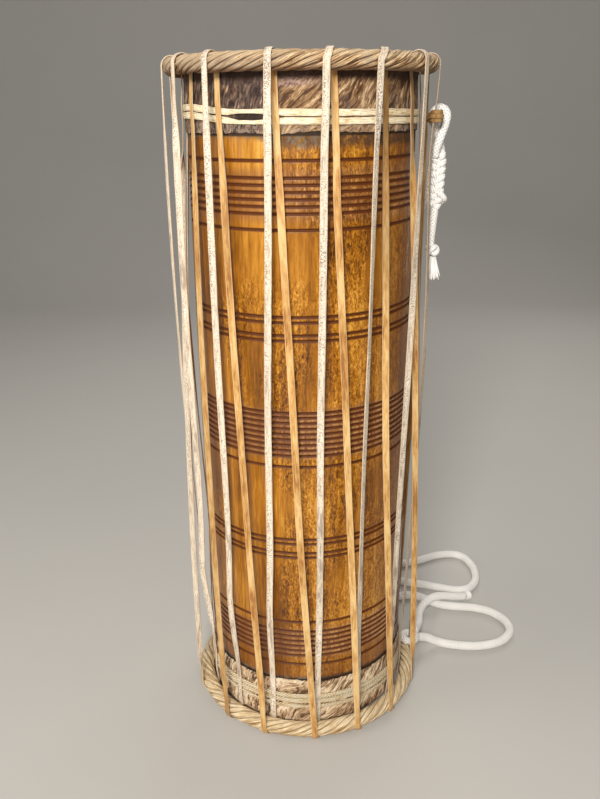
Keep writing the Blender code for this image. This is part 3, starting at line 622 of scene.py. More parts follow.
# Yarns one way, the length of one crossing, how deep the braid is cut, and the faces round it
KNOTTED_BRAID = 6, 0.0038, 0.15, 30
PLAIT_BRAID = 6, 0.0033, 0.14, 24
KNOT_BRAID = 6, 0.0030, 0.14, 24
EYE_ROUTE = (
    (0.1366, 0.0000, 0.6060), (0.1372, 0.0003, 0.6110), (0.1350, -0.0008, 0.6210),
    (0.1318, -0.0026, 0.6300), (0.1286, -0.0038, 0.6371), (0.1276, -0.0040, 0.6441),
    (0.1295, -0.0040, 0.6490), (0.1342, -0.0040, 0.6511), (0.1389, -0.0041, 0.6490),
    (0.1408, -0.0043, 0.6441), (0.1396, -0.0050, 0.6371), (0.1366, -0.0080, 0.6295),
    (0.1332, -0.0102, 0.6205), (0.1306, -0.0088, 0.6110), (0.1318, -0.0078, 0.6050),
)
PLAIT_TOP = 0.6140
PLAIT_FOOT = 0.5542
PLAIT_CENTRE = (0.1336, -0.0040)
PLAIT_LEAN = 0.0022
PLAIT_PERIOD = 0.0210
PLAIT_SWING = 0.0053
PLAIT_DEPTH = 0.0029
PLAIT_STRAND = 0.0032
PLAIT_STEPS = 40
BIGHT_ROUTE = (
    (0.1345, -0.0078, 0.5735), (0.1378, -0.0092, 0.5705), (0.1410, -0.0080, 0.5670),
    (0.1418, -0.0045, 0.5650), (0.1390, -0.0020, 0.5630), (0.1350, -0.0030, 0.5610),
)
BIGHT_RADIUS = 0.0031
END_ROUTE = ((0.1333, -0.0040, 0.5590), (0.1325, -0.0040, 0.5500), (0.1314, -0.0040, 0.5370),
             (0.1304, -0.0040, 0.5230), (0.1308, -0.0040, 0.5170))
STOPPER_CENTRE = (0.1322, -0.0040, 0.5149)
KNOT_STRAND = 0.0027
KNOT_STEPS = 60
TASSEL_TOP = 0.5086
TASSEL_FOOT = 0.4850
TASSEL_YARNS = 84
YARN_STEPS = 5
YARN_RADII = np.array((1, 1.05, 1, 0.95, 0.85, 0.45)) * 0.00062
GOLDEN_TURN = 2.39996


def joined(name, pieces):
    """Several pieces made one mesh."""
    single_out()
    for piece in pieces:
        piece.select_set(True)
    bpy.context.view_layer.objects.active = pieces[0]
    bpy.ops.object.join()
    pieces[0].name = name
    return pieces[0]


def tassel_yarn(name, route):
    """One yarn of the tassel, which thins to its tip."""
    sides = carried_sides(route)

    def place(across, along, station):
        girth, turn = YARN_RADII[station], across * math.tau
        points = beside(route, sides, station, girth * np.cos(turn), girth * np.sin(turn))
        # Painted shade, deeper towards the yarn's root inside the tassel.
        return points, {"crevice": 0.25 + 0.35 * (1 - along)}

    return wrapped_skin(name, YARN_STEPS, YARN_STEPS, place)


eye_route = smooth_route(EYE_ROUTE, KNOTTED_STATION)[0]
rope_loop = braided("rope_loop", eye_route, KNOTTED_RADIUS * 1.07, *KNOTTED_BRAID)
dressed(rope_loop, cotton, "rope_cotton", "rope_eye", smooth=180)

strands = []
for strand in range(3):
    points = []
    for step in range(PLAIT_STEPS + 1):
        fall = (PLAIT_TOP - PLAIT_FOOT - 2 * PLAIT_STRAND * 0.75) * step / PLAIT_STEPS
        phase = math.tau * (fall / PLAIT_PERIOD + strand / 3) + 0.9
        gather = min(1, 0.55 + 0.09 * step, 0.45 + 0.10 * (PLAIT_STEPS - step))
        lean = PLAIT_LEAN * (0.5 - step / PLAIT_STEPS)
        points.append((PLAIT_CENTRE[0] + lean + PLAIT_SWING * gather * math.sin(phase),
                       PLAIT_CENTRE[1] + PLAIT_DEPTH * gather * math.sin(2 * phase),
                       PLAIT_TOP - PLAIT_STRAND * 0.75 - fall))
    route = smooth_route(points, ROPE_STATION)[0]
    strands.append(braided(f"plait_{strand}", route, PLAIT_STRAND, *PLAIT_BRAID))
bight_route = smooth_route(BIGHT_ROUTE, KNOTTED_STATION)[0]
strands.append(braided("plait_bight", bight_route, BIGHT_RADIUS, *PLAIT_BRAID))
dressed(joined("rope_plait", strands), cotton, "rope_cotton", "rope_sinnet", smooth=180)

end_route = smooth_route(END_ROUTE, KNOTTED_STATION)[0]
rope_end = braided("rope_end", end_route, KNOTTED_RADIUS, *KNOTTED_BRAID)
dressed(rope_end, cotton, "rope_cotton", "rope_end_strand", smooth=180)

knot_points = []
for step in range(KNOT_STEPS + 1):
    angle = math.tau * step / KNOT_STEPS
    swing = 0.0040 + 0.0014 * math.cos(3 * angle)
    knot_points.append((STOPPER_CENTRE[0] + swing * math.cos(2 * angle),
                        STOPPER_CENTRE[1] + swing * math.sin(2 * angle),
                        STOPPER_CENTRE[2] + 0.0031 * math.sin(3 * angle)))
knot_route = smooth_route(knot_points, KNOTTED_STATION)[0]
knot_route[-1] = knot_route[0]
rope_knot = braided("rope_knot", knot_route, KNOT_STRAND, *KNOT_BRAID, closed=True)
dressed(rope_knot, cotton, "rope_cotton", "rope_stopper_knot", smooth=180)

yarns = []
for yarn in range(TASSEL_YARNS):
    angle = yarn * GOLDEN_TURN
    spread = math.sqrt((yarn + 0.5) / TASSEL_YARNS)
    wave = 0.0011 * math.sin(yarn * 5.1)
    foot = TASSEL_FOOT + 0.0042 * (0.5 + 0.5 * math.sin(yarn * 1.7)) * (0.35 + 0.65 * spread)
    points = []
    for step in range(YARN_STEPS + 1):
        share = step / YARN_STEPS
        width = (0.0036 + 0.0036 * share ** 0.85) * spread
        points.append((0.1324 + 0.0013 * share + width * math.cos(angle) + wave * share * share,
                       -0.0040 + width * math.sin(angle) + 0.0010 * share * math.sin(yarn * 3.3),
                       TASSEL_TOP + (foot - TASSEL_TOP) * share))
    yarns.append(tassel_yarn(f"yarn_{yarn}", np.array(points)))
dressed(joined("rope_tassel_yarns", yarns), cotton, "rope_cotton", "rope_tassel", smooth=60)


# The hitch: one turn of the same rope round the foot of a tan run of the lacing, just above
# the lower hoop, and the free end's whipping of cotton thread.
HITCH_CENTRE = (0.1295, 0.0221, 0.0236)
HITCH_RING = 0.0086
HITCH_ROPE_RADIUS = 0.0046
HITCH_STEPS = 84
HITCH_BRAID = 8, 0.0038, 0.14, 36
WHIPPING_LENGTH = 0.0088
WHIPPING_STEPS = 59
WHIPPING_ON_FLOOR = 0.0061

angles = np.arange(HITCH_STEPS + 1) * math.tau / HITCH_STEPS
hitch_route = np.column_stack([np.cos(angles), np.sin(angles), 0 * angles]) * HITCH_RING
hitch_route += HITCH_CENTRE
hitch_route[-1] = hitch_route[0]
rope_hitch = braided("rope_hitch_turn", hitch_route, HITCH_ROPE_RADIUS, *HITCH_BRAID, closed=True)
dressed(rope_hitch, cotton, "rope_cotton", "rope_hitch", smooth=180)

ending = unit(tail_route[-1] - tail_route[-3])
along_whipping = np.linspace(0, WHIPPING_LENGTH, WHIPPING_STEPS + 1)[:, None]
whipping_route = tail_route[-1] + ending * 0.0003 + ending * along_whipping
whipping_route[:, 2] = np.maximum(whipping_route[:, 2], WHIPPING_ON_FLOOR)
whipping_sides = carried_sides(whipping_route)


def whipped(across, along, station):
    """Nine turns of thread round the rope, then the cut end of the yarns."""
    thread = arch(along * 11 + across)
    swell = np.where(along < 0.8, 0.0052 + 0.00050 * thread, 0.0050 - 0.0014 * (along - 0.8) / 0.2)
    swell = swell * np.sqrt(np.clip(1 - (1 - np.clip(along * 14 + 0.25, 0, 1)) ** 2, 0, 1))
    swell = np.where(along > 0.97, swell * 0.6, swell)
    turn = across * math.tau
    points = beside(whipping_route, whipping_sides, station, swell * np.cos(turn),
                    swell * np.sin(turn))
    # Painted shade between the thread's turns.
    return points, {"crevice": 1 - thread}


rope_whipping = wrapped_skin("rope_whipping", 32, WHIPPING_STEPS, whipped)
dressed(rope_whipping, cotton, "rope_cotton", "rope_end_whipping", smooth=60)


# The two heads: one thin calf hide each, with its hair left on the skirt. The wet skin was
# pulled over the end of the wood and dried there, so the skirt is wrinkled and its hem ragged.
SKIN_SEAT = 0.0003
SKIN = 0.0010
TOP_HEM = 0.6330
BOTTOM_HEM = 0.0650
HEM_WAVE = 0.0016
SKIN_COLUMNS = 300
BINDING_SLACK = 0.0085
UPPER_BINDING_HEIGHT = 0.6477
FACE_REACH = 0.1085
# How far the hair leans to the right as it rises, and how grey the hide is, by azimuth
HAIR_LEAN = ((-180, -60, -42, -14, -4, 14, 24, 60, 180),
             (0.4, 0.4, 0.2, 0.35, 1.3, 1.1, 0.7, 0.4, 0.4))
HIDE_GREY = ((-180, -70, -45, -32, -14, -8, 4, 14, 20, 34, 48, 80, 180),
             (0.5, 0.5, 0.70, 0.95, 0.90, 0.30, 0.0, 0.1, 0.35, 0.2, 0.35, 0.5, 0.5))


def waves(angle, seed, least, most):
    """An uneven wave round a full turn, from about minus one to one."""
    total = 0
    for wave in range(least, most + 1):
        total = total + np.sin(wave * angle + seed * 1.7 + 2.4 * wave * wave)
    return total / math.sqrt((most - least + 1) / 2) / 1.6


def ring_points(radius, turn, height):
    """Points round the drum, from their radii, their turns from the front and their heights."""
    return np.column_stack([radius * np.sin(turn), -radius * np.cos(turn), height])


def skin_head(name, side, hem):
    """A head: its face, the fold over the wood's edge, the skirt and the skin's inner face."""
    end = DRUM_HEIGHT if side > 0 else 0.0
    seat = end - side * SHELL_END
    corner = SHELL_END_RADIUS - SHELL_EDGE_ROUND
    profile = []
    for share in np.linspace(0, 1, 14)[:-1]:
        profile.append((share * corner, seat + side * (SKIN_SEAT + SKIN), 0.2))
    for degrees in range(0, 91, 10):
        reach = SHELL_EDGE_ROUND + SKIN_SEAT + SKIN
        angle = math.radians(degrees)
        profile.append((corner + reach * math.sin(angle),
                        seat - side * (SHELL_EDGE_ROUND - reach * math.cos(angle)), 0.2))
    fall = abs(seat - side * SHELL_EDGE_ROUND - hem)
    for share in np.linspace(0, 1, 58)[1:]:
        height = seat - side * (SHELL_EDGE_ROUND + fall * share)
        profile.append((shell_radius(height) + SKIN_SEAT + SKIN, height, 1.0))
    for share in np.linspace(1, 0, 8):
        height = seat - side * (SHELL_EDGE_ROUND + fall * share)
        profile.append((shell_radius(height) + SKIN_SEAT, height, 0.0))
    profile.append((corner, seat + side * SKIN_SEAT, 0.0))
    profile.append((0, seat + side * SKIN_SEAT, 0.0))
    profile = np.array(profile)
    last = len(profile) - 1

    def place(across, along, station):
        radius, height, loose = profile[station].T
        turn = across * math.tau
        from_hoop = np.clip(np.abs(height - end) - 0.019, 0, 0.006) / 0.006
        under_binding = np.abs(height - UPPER_BINDING_HEIGHT) < BINDING_SLACK
        clear = np.where(under_binding, 0.35, 1.0) if side > 0 else 0.45
        folds = (waves(turn + height * 3.0, 3 + side, 21, 34)
                 + 0.8 * waves(turn - height * 7.0, 5, 43, 70))
        bumps = np.sin(height * 900 + 3 * waves(turn, 7, 5, 11))
        swell = 0.00018 * folds + 0.00008 * bumps
        near_hem = np.clip(1 - np.abs(height - hem) / 0.030, 0, 1)
        ragged = HEM_WAVE * (np.sin(3 * (turn - math.pi) + side) + np.sin(7 * (turn - math.pi))
                             + np.sin(11 * (turn - math.pi))) / 3
        ragged = ragged + 0.00045 * waves(turn, 11 + side, 35, 90)
        radius = radius + np.where(loose > 0.5, swell * from_hoop * clear, 0)
        height = height + side * ragged * near_hem ** 2 * np.where(radius > 0.1, 1, 0)
        turn = turn - math.pi
        azimuth = np.degrees(turn)
        lean = np.interp(azimuth, *HAIR_LEAN) / SHELL_RADIUS
        combed = turn - (height - (end - side * 0.04)) * lean
        return ring_points(radius, turn, height), {
            "comb_x": SHELL_RADIUS * np.sin(combed), "comb_y": -SHELL_RADIUS * np.cos(combed),
            "grey": np.interp(azimuth, *HIDE_GREY), "folded": np.exp(-((azimuth + 3) / 11) ** 2),
            "scraped": np.clip((FACE_REACH - radius) / 0.004, 0, 1)}

    return wrapped_skin(name, SKIN_COLUMNS, last, place, closed=False)


hide = Finish("mottled_hide", Roughness=0.72, Specular_IOR_Level=0.35)
height = hide.axis("Z")
swirl_inputs = {"Vector": hide.spot(), "Scale": 70.0, "Detail": 2.0}
swirl = hide.node("ShaderNodeTexNoise", None, swirl_inputs, "Color")
swirl = hide.node("ShaderNodeVectorMath", {"operation": "SCALE"}, {0: swirl, "Scale": 0.008})
combed = hide.shifted(hide.vector(hide.painted("comb_x"), hide.painted("comb_y"), height), swirl)
tufts = hide.mottle(hide.stretched(combed, (150, 150, 42)), 1.0, 4.0, 0.60, 0.4)
hairs = hide.mottle(hide.stretched(combed, (560, 560, 85)), 1.0, 3.0, 0.6, 0.3)
patches = hide.mottle(hide.spot(), 48.0, 3.0, 0.55, 0.4)
flecks = hide.mottle(hide.spot((1, 1, 0.8)), 420.0, 3.0, 0.6)
pelt = tufts * 0.55 + hairs * 0.50 + patches * 0.25 - 0.15
brown = hide.shades(pelt, (0.41, (0.075, 0.032, 0.013)), (0.47, (0.205, 0.108, 0.048)),
                    (0.53, (0.340, 0.205, 0.098)), (0.61, (0.720, 0.520, 0.310)))
grey = hide.shades(pelt, (0.42, (0.026, 0.013, 0.010)), (0.50, (0.090, 0.055, 0.042)),
                   (0.57, (0.170, 0.108, 0.076)), (0.64, (0.460, 0.345, 0.250)))
greyness = (hide.painted("grey") + (patches - 0.5) * 2.2).step(0.25, 0.75)
hide_colour = hide.blend(greyness, brown, grey)
fold_edge = height + (hide.mottle(hide.spot(), 90.0, 3.0, 0.6) - 0.5) * 0.008
fold = hide.painted("folded") * fold_edge.step(0.6690, 0.6705)
fold_shade = hide.blend(flecks.step(0.4, 0.6), (0.16, 0.085, 0.070), (0.46, 0.32, 0.27))
hide_colour = hide.blend(fold * 0.7, hide_colour, fold_shade)
# Painted shadow on the skirt just under the upper hoop.
hoop_shadow = fold_edge.step(0.6725, 0.6790)
hide_colour = hide.blend(hoop_shadow * 0.85, hide_colour, (0.045, 0.020, 0.012))
below_tape = (1 - height.step(0.6405, 0.6420)) * height.step(0.3, 0.4)
hide_colour = hide.blend(below_tape * flecks.step(0.42, 0.60) * 0.55, hide_colour,
                         (0.400, 0.310, 0.235))
hide_x = hide.axis("X")
# Painted shade on the hide where the upper binding's turns gape apart.
gape_shadow = hide_x.step(-0.062, -0.052) * (1 - hide_x.step(-0.034, -0.012))
gape_shadow = gape_shadow * (1 - hide.axis("Y").step(-0.02, 0.0))
gape_shadow = gape_shadow * height.step(0.6425, 0.6445) * (1 - height.step(0.6505, 0.6525))
hide_colour = hide.blend(gape_shadow * 0.85, hide_colour, (0.020, 0.011, 0.007))
low_end = 1 - height.step(0.2, 0.3)
foot = hide.shades(pelt, (0.42, (0.110, 0.058, 0.027)), (0.475, (0.400, 0.255, 0.140)),
                   (0.525, (0.640, 0.455, 0.275)), (0.59, (0.930, 0.790, 0.590)))
hide_colour = hide.blend(low_end * 0.92, hide_colour, foot)
scraped = hide.painted("scraped")
pores = hide.mottle(hide.spot(), 900.0, 2.0, 0.6)
raw = hide.mottle(hide.spot(), 26.0, 5.0, 0.6, 0.5) * 0.75 + pores * 0.25
raw_hide = hide.shades(raw, (0.40, (0.430, 0.290, 0.165)), (0.50, (0.640, 0.480, 0.300)),
                       (0.60, (0.780, 0.640, 0.440)))
hide_colour = hide.blend(scraped, hide_colour, raw_hide)
hide.feed("Base Color", hide_colour)
hide.feed("Roughness", 0.62 + flecks * 0.25)
hide.relief((tufts * 0.5 + hairs * 0.5) * (1 - scraped) + raw * scraped * 0.15, 0.0016)
for end_name, side, hem in (("top", 1, TOP_HEM), ("bottom", -1, BOTTOM_HEM)):
    skin = skin_head(f"{end_name}_skin", side, hem)
    dressed(skin, hide, "head_hide", f"{end_name}_head", smooth=55)


# The two hoops: strips of wet hide laid round a cane core and twisted hard as they dried, so
# uneven ridges wind round them. They stand a little clear of the skin and take the lacing.
HOOP_RADIUS = 0.12223
HOOP_TUBE = 0.0086
HOOP_RISE = 0.0101
HOOP_STRANDS = 7
HOOP_TURNS = 8
HOOP_GROOVE = 0.0019
HOOP_STATIONS = 1250
HOOP_SEAM = math.radians(140)


def twisted_hoop(name, height, seed):
    """A hoop whose ridges wind round it."""
    def place(across, along, station):
        turn = along * math.tau
        angle = across * math.tau - HOOP_SEAM
        lay = angle - HOOP_TURNS * turn
        sway = 0.20 * waves(turn, seed + 4, 5, 13) * np.sin(lay + seed)
        lay = lay + 0.13 * waves(lay, seed, 1, 3) + sway
        ridge = np.abs(np.cos(HOOP_STRANDS * lay / 2)) ** 0.6
        ridge = ridge + (1 - ridge) * np.clip(0.30 * waves(turn, seed + 8, 6, 15), 0, 0.6)
        fine = np.abs(np.cos(HOOP_STRANDS * 1.5 * lay + 1.2 * waves(turn, seed + 9, 5, 17)))
        fold = np.abs(np.cos(HOOP_STRANDS * 4 * lay + 2.2 * waves(turn, seed + 2, 9, 29)))
        lumps = 0.5 + 0.5 * waves(turn, seed + 6, 9, 23)
        drop = (HOOP_GROOVE * (1 - ridge) + 0.00042 * (1 - fine) + 0.00016 * (1 - fold)
                + 0.00045 * np.clip(lumps, 0, 1))
        radius = HOOP_RADIUS + (HOOP_TUBE - drop) * np.cos(angle)
        rise = height + (HOOP_TUBE - drop) * np.sin(angle)
        points = ring_points(radius, turn - math.pi, rise)
        return points, {"valley": np.clip((1 - ridge) * 0.85 + 0.45 * (1 - fine) ** 2, 0, 1),
                        "facing": np.sin(angle + 0.35)}

    return wrapped_skin(name, 76, HOOP_STATIONS, place, closed=False)


def hoop_finish(name, shadow, body, light, grey, grey_left, underside_shade, valley_shade):
    """The finish of a hoop, from its colours in the valleys, on the ridges and in its grey patches.
    Painted shade darkens its valleys, creases and underside, and a painted highlight lightens its
    top.
    """
    finish = Finish(name, Roughness=0.6, Specular_IOR_Level=0.4)
    along = finish.axis("Y", finish.strip()) * math.tau
    lay = finish.axis("X", finish.strip()) * math.tau - along * HOOP_TURNS
    ring = finish.vector(lay.wave("COSINE") * 15, lay.wave("SINE") * 15, along.wave("COSINE") * 8)
    streaks = finish.node("ShaderNodeTexNoise", {"noise_dimensions": "4D"}, {
        "Vector": ring, "W": along.wave("SINE") * 8, "Scale": 1.0, "Detail": 5.0,
        "Roughness": 0.70})
    blotch = finish.mottle(finish.spot(), 60.0, 3.0, 0.6)
    grain = finish.mottle(finish.spot(), 700.0, 3.0, 0.6)
    side = finish.axis("X")
    colour = finish.shades(streaks * 1.25 + blotch * 0.25 - 0.25 + side.step(-0.02, 0.09) * 0.030,
                           (0.455, shadow), (0.508, body), (0.585, light))
    # Painted shade in the fine creases of the twisted hide.
    crease_shade = (1 - streaks.step(0.36, 0.45)) * 0.65
    colour = finish.blend(crease_shade, colour, tuple(0.5 * part for part in shadow))
    greyed = (blotch + (0 - side).step(-0.04, 0.06) * grey_left).step(0.50, 0.75) * 0.7
    colour = finish.blend(greyed, colour, grey)
    # Painted shade in the valleys between the strands.
    colour = finish.blend(finish.painted("valley").step(0.22, 0.80) * 0.92, colour,
                          tuple(valley_shade * part for part in shadow))
    facing = finish.painted("facing")
    # A painted highlight on the hoop's upper side and painted shade on its underside.
    colour = finish.blend(facing.step(0.35, 1.0) * 0.22, colour, light)
    colour = finish.blend((0 - facing).step(0.05, 0.65) * underside_shade, colour, shadow)
    finish.feed("Base Color", colour)
    finish.feed("Roughness", 0.5 + grain * 0.3)
    finish.relief(streaks * 0.8 + grain * 0.2, 0.0018)
    return finish


top_hoop_finish = hoop_finish(
    "twisted_hide", shadow=(0.170, 0.070, 0.025), body=(0.700, 0.420, 0.180),
    light=(0.990, 0.770, 0.490), grey=(0.470, 0.350, 0.240), grey_left=0.22, underside_shade=0.75,
    valley_shade=0.35)
top_ring = twisted_hoop("top_ring", DRUM_HEIGHT - HOOP_RISE, 2.0)
dressed(top_ring, top_hoop_finish, "hoop_hide", "top_hoop", smooth=60)
bottom_hoop_finish = hoop_finish(
    "pale_twisted_hide", shadow=(0.460, 0.280, 0.125), body=(0.900, 0.640, 0.340),
    light=(0.990, 0.840, 0.570), grey=(0.920, 0.740, 0.520), grey_left=0.0, underside_shade=0.6,
    valley_shade=0.4)
bottom_ring = twisted_hoop("bottom_ring", HOOP_RISE, 5.0)
dressed(bottom_ring, bottom_hoop_finish, "hoop_hide", "bottom_hoop", smooth=60)


# The bindings: a tape of loosely twisted pale plant fibre, wound round each skirt without a
# break. The turns were pulled tight by hand, so they touch in places and gape in others.
TAPE_THICKNESS = 0.0016
TAPE_STATIONS = 480
TAPE_LAY = 0.0034
TAPE_START = math.radians(90)
TAPE_FACES = 40
LOWER_BINDING_HEIGHT = 0.0412
# The turn's number, then azimuths, the part of the width that is lost there and its shift
UPPER_GAPE_AZIMUTHS = (-130, -90, -60, -45, -34, -28, -20, -12, -6)
UPPER_GAPE = (
    (0, UPPER_GAPE_AZIMUTHS, (0, 0, 0, 0, 0.05, 0.42, 0.36, 0.20, 0),
     (0, 0.0030, 0.0040, 0.0022, 0.0004, 0.0009, 0.0010, 0.0006, 0)),
    (1, UPPER_GAPE_AZIMUTHS, (0, 0, 0, 0, 0.05, 0.45, 0.42, 0.25, 0),
     (0, 0.0030, 0.0040, 0.0022, 0.0002, -0.0010, -0.0012, -0.0007, 0)))
LOWER_GAPE = ((0, (-180, 180), (0, 0), (-0.0002, -0.0002)),
              (1, (-180, 180), (0, 0), (0.0003, 0.0003)),
              (2, (-60, -10, 60), (0.25, 0.18, 0.25), (0, -0.0003, 0)))


def flattened(wave, power):
    """A sine or cosine pushed towards its ends, so that a round section turns nearly square."""
    return np.sign(wave) * np.abs(wave) ** power


def wound_tape(name, middle, width, pitch, turns, seed, gape, twisted):
    """A tape wound round a skirt. Gape lists azimuths, widths and shifts of each turn there."""
    waist = shell_radius(middle) + SKIN_SEAT + SKIN + SKIN_SEAT
    centre = waist + TAPE_THICKNESS / 2
    rows = TAPE_STATIONS * turns

    def place(across, along, station):
        share = along * turns
        azimuth = TAPE_START + math.tau * share
        degrees = (np.degrees(azimuth) + 180) % 360 - 180
        round_number = np.clip(np.floor(share), 0, turns - 1)
        part = np.zeros(len(across))
        shift = np.zeros(len(across))
        for own_round, azimuths, parts, shifts in gape:
            own = round_number == own_round
            part = np.where(own, np.interp(degrees, azimuths, parts), part)
            shift = np.where(own, np.interp(degrees, azimuths, shifts), shift)
        height = middle + pitch * (turns / 2 - share) + shift + 0.00015 * waves(azimuth, seed, 3, 8)
        angle = across * math.tau
        uneven = 0.97 + 0.03 * waves(azimuth, seed + 3 + round_number, 5, 14)
        half = np.minimum(width / 2 * (1 - part) * uneven, width / 2)
        end = np.clip(np.minimum(along, 1 - along) * rows / 3 + 0.15, 0, 1)
        up = flattened(np.sin(angle), 0.6) * half * end
        out = flattened(np.cos(angle), 0.8) * TAPE_THICKNESS / 2 * end
        strand = (up * 1500 + 2.2 * waves(azimuth, seed + 1, 2, 7)
                  + 0.6 * waves(azimuth, seed + 2, 20, 50))
        ply = np.abs(np.cos(strand)) ** 0.6
        radius = centre + out - np.where(out > 0, 0.00030 * (1 - ply), 0) * end
        points = ring_points(radius, azimuth, height + up)
        lay = (share * math.tau * centre - up * 1.3) / TAPE_LAY
        return points, {"ply": 1 - ply, "lay": lay if twisted else 0 * lay}

    return wrapped_skin(name, TAPE_FACES, rows, place)


fibre_tape = Finish("twisted_plant_fibre", Roughness=0.8, Specular_IOR_Level=0.3)
tape_place = fibre_tape.stretched(fibre_tape.strip(), (34, 150, 1))
threads = fibre_tape.mottle(tape_place, 1.0, 4.0, 0.65, 0.6)
tape_blotch = fibre_tape.mottle(fibre_tape.spot(), 75.0, 4.0, 0.6)
tape_colour = fibre_tape.shades(threads * 0.6 + tape_blotch * 0.4,
                                (0.36, (0.560, 0.370, 0.160)), (0.44, (0.900, 0.700, 0.410)),
                                (0.54, (0.990, 0.900, 0.680)))
# Painted shade in the grooves between the tape's plies.
tape_colour = fibre_tape.blend(fibre_tape.painted("ply").step(0.30, 1.0) * 0.75, tape_colour,
                               (0.300, 0.205, 0.095))
# Painted shade in the valleys of the twisted tape's lay.
lay = fibre_tape.painted("lay") + (threads - 0.5) * 1.2
lay_valley = (1 - (lay * math.tau).wave("COSINE")) * 0.5
tape_colour = fibre_tape.blend(lay_valley.step(0.45, 0.95) * 0.70, tape_colour,
                               (0.300, 0.185, 0.085))
fibre_tape.feed("Base Color", tape_colour)
fibre_tape.relief(threads * 0.7 - lay_valley * 0.5, 0.0009)
upper_tape = wound_tape("upper_tape", UPPER_BINDING_HEIGHT, width=0.0061, pitch=0.0068, turns=2,
                        seed=3, gape=UPPER_GAPE, twisted=False)
dressed(upper_tape, fibre_tape, "binding_fibre", "top_binding", smooth=60)
lower_tape = wound_tape("lower_tape", LOWER_BINDING_HEIGHT, width=0.0058, pitch=0.0067, turns=3,
                        seed=8, gape=LOWER_GAPE, twisted=True)
dressed(lower_tape, fibre_tape, "binding_fibre", "bottom_binding", smooth=60)


# The lacing: one long flat thong, cut with its hair side scraped but speckled. It goes over the
# upper hoop, down outside the skirts and behind the lower hoop, under it, and up again to pass
# behind the upper hoop. The hair side shows on the way down and the tan flesh side on the way
# up. It is drawn as the fifteen lengths that the hoops divide it into.
LACE_WIDTH = 0.0066
FREE_LACE_WIDTH = 0.0071
LACE_THICKNESS = 0.0012
LACE_COUNT = 15
LACE_STATION = 0.0042
WRAP_RADIUS = 0.0095
WRAP_STEPS = 16
FIRST_LACE_AZIMUTH = -84.0
PALE_FOOT_LEAN = -5
TAN_FOOT_LEAN = -8
TAN_TOP_LEAN = -22
LACE_SPLICE_DROP = 0.0032
LACE_TAIL = 0.0014
# Heights at which a run passes the lower binding on its way down and the upper on its way up
LOWER_CROSSING = (0.0542, 0.0283)
UPPER_CROSSING = (0.6379, 0.6576)
TOP_OUTSIDE = 0.1148
BOTTOM_OUTSIDE = 0.1147
PALE_TOP_WANDER = (8, 2.3, -1.2, 0.7, -2.4, -5.3, -2.8, -3, -2, 0, 1, 2, 3, 5, 6)
PALE_FOOT_WANDER = (-1, -4.3, -0.3, -2, -0.9, -1.2, 0.8, -1, -1, 1, 2, 3, 4, 5, 4)
TAN_FOOT_WANDER = (0, -3, 1, -0.9, -0.1, -2.6, -5.4, -3, 0, 1, 2, 3, 4, 5, 4)
TAN_TOP_WANDER = (6, 2, -1.7, -5.2, -1.3, 0.3, 2, -1, -2, -1, 1, 2, 3, 4, 6)
PALE_BOW = (0.008, 0.005, 0.004, 0.003, 0.003, 0.002, 0.003, 0.004, 0.004, 0.005, 0.003, 0.004,
            0.005, 0.003, 0.006)
PALE_DRIFT = (0, -0.0018, -0.0012, -0.0011, -0.0009, -0.0036, -0.0045, -0.0020, 0.0010, -0.0010,
              0.0020, -0.0020, 0.0010, -0.0010, 0)
TAN_BOW = (0.006, 0.006, 0.005, 0.003, 0.003, 0.0025, 0.002, 0.0045, 0.004, 0.005, 0.004, 0.003,
           0.005, 0.004, 0.006)
TAN_DRIFT = (0, 0, -0.0005, 0, -0.0016, -0.0017, -0.0055, -0.0040, -0.0010, 0.0010, -0.0010,
             0.0020, -0.0010, 0.0010, 0)
PALE_TWIST = (-18, -48, -18, -3, 3, -27, -6, 20, -25, -15, 10, -20, 15, 20, -10)
TAN_TWIST = (10, -128, 22, 16, 6, -10, -30, -52, -20, 15, -10, 20, -15, 10, 15)
BOW_STEPS = 24
# The one pale run that turns further on its way down: its number, its turn below and the heights
PALE_TURNING, LOW_TWIST, TURNING_HEIGHTS = 6, 27, (0.47, 0.62)
# How much painted shade darkens the thong on its way down and on its way up, below and above, by
# the length's number
PALE_SHADE = {6: (0.05, 0.15), 7: (0.4, 0.5), 8: (0.6, 0.6)}
TAN_SHADE = {1: (0.15, 0.15), 2: (0.45, 0.25), 3: (0.12, 0.25), 6: (0.05, 0.8),
             7: (0.15, 0.55), 8: (0.6, 0.6)}
SHADE_HEIGHTS = (0.46, 0.54)
# Where the rope pulls its lace in, and where two laces stand out low down: the length's number,
# the height, how far the pull spreads, and how far it moves the lace outward and round
PALE_PULLS = ((7, 0.600, 0.105, -0.0050, 0), (1, 0.150, 0.070, 0.0040, -0.0052),
              (2, 0.130, 0.070, 0.0015, -0.0040), (3, 0.130, 0.070, 0.0, -0.0020))


def lace_marks(index):
    """Azimuths of a length: pale top, pale foot, tan foot and tan top."""
    regular = FIRST_LACE_AZIMUTH + index * 360 / LACE_COUNT
    return (regular + PALE_TOP_WANDER[index],
            regular + PALE_FOOT_LEAN + PALE_FOOT_WANDER[index],
            regular + TAN_FOOT_LEAN + TAN_FOOT_WANDER[index],
            regular + TAN_TOP_LEAN + TAN_TOP_WANDER[index])


def on_drum(radius, azimuth, height):
    """A point round the drum, from its distance to the axis, its azimuth and its height."""
    angle = math.radians(azimuth)
    return (radius * math.sin(angle), -radius * math.cos(angle), height)


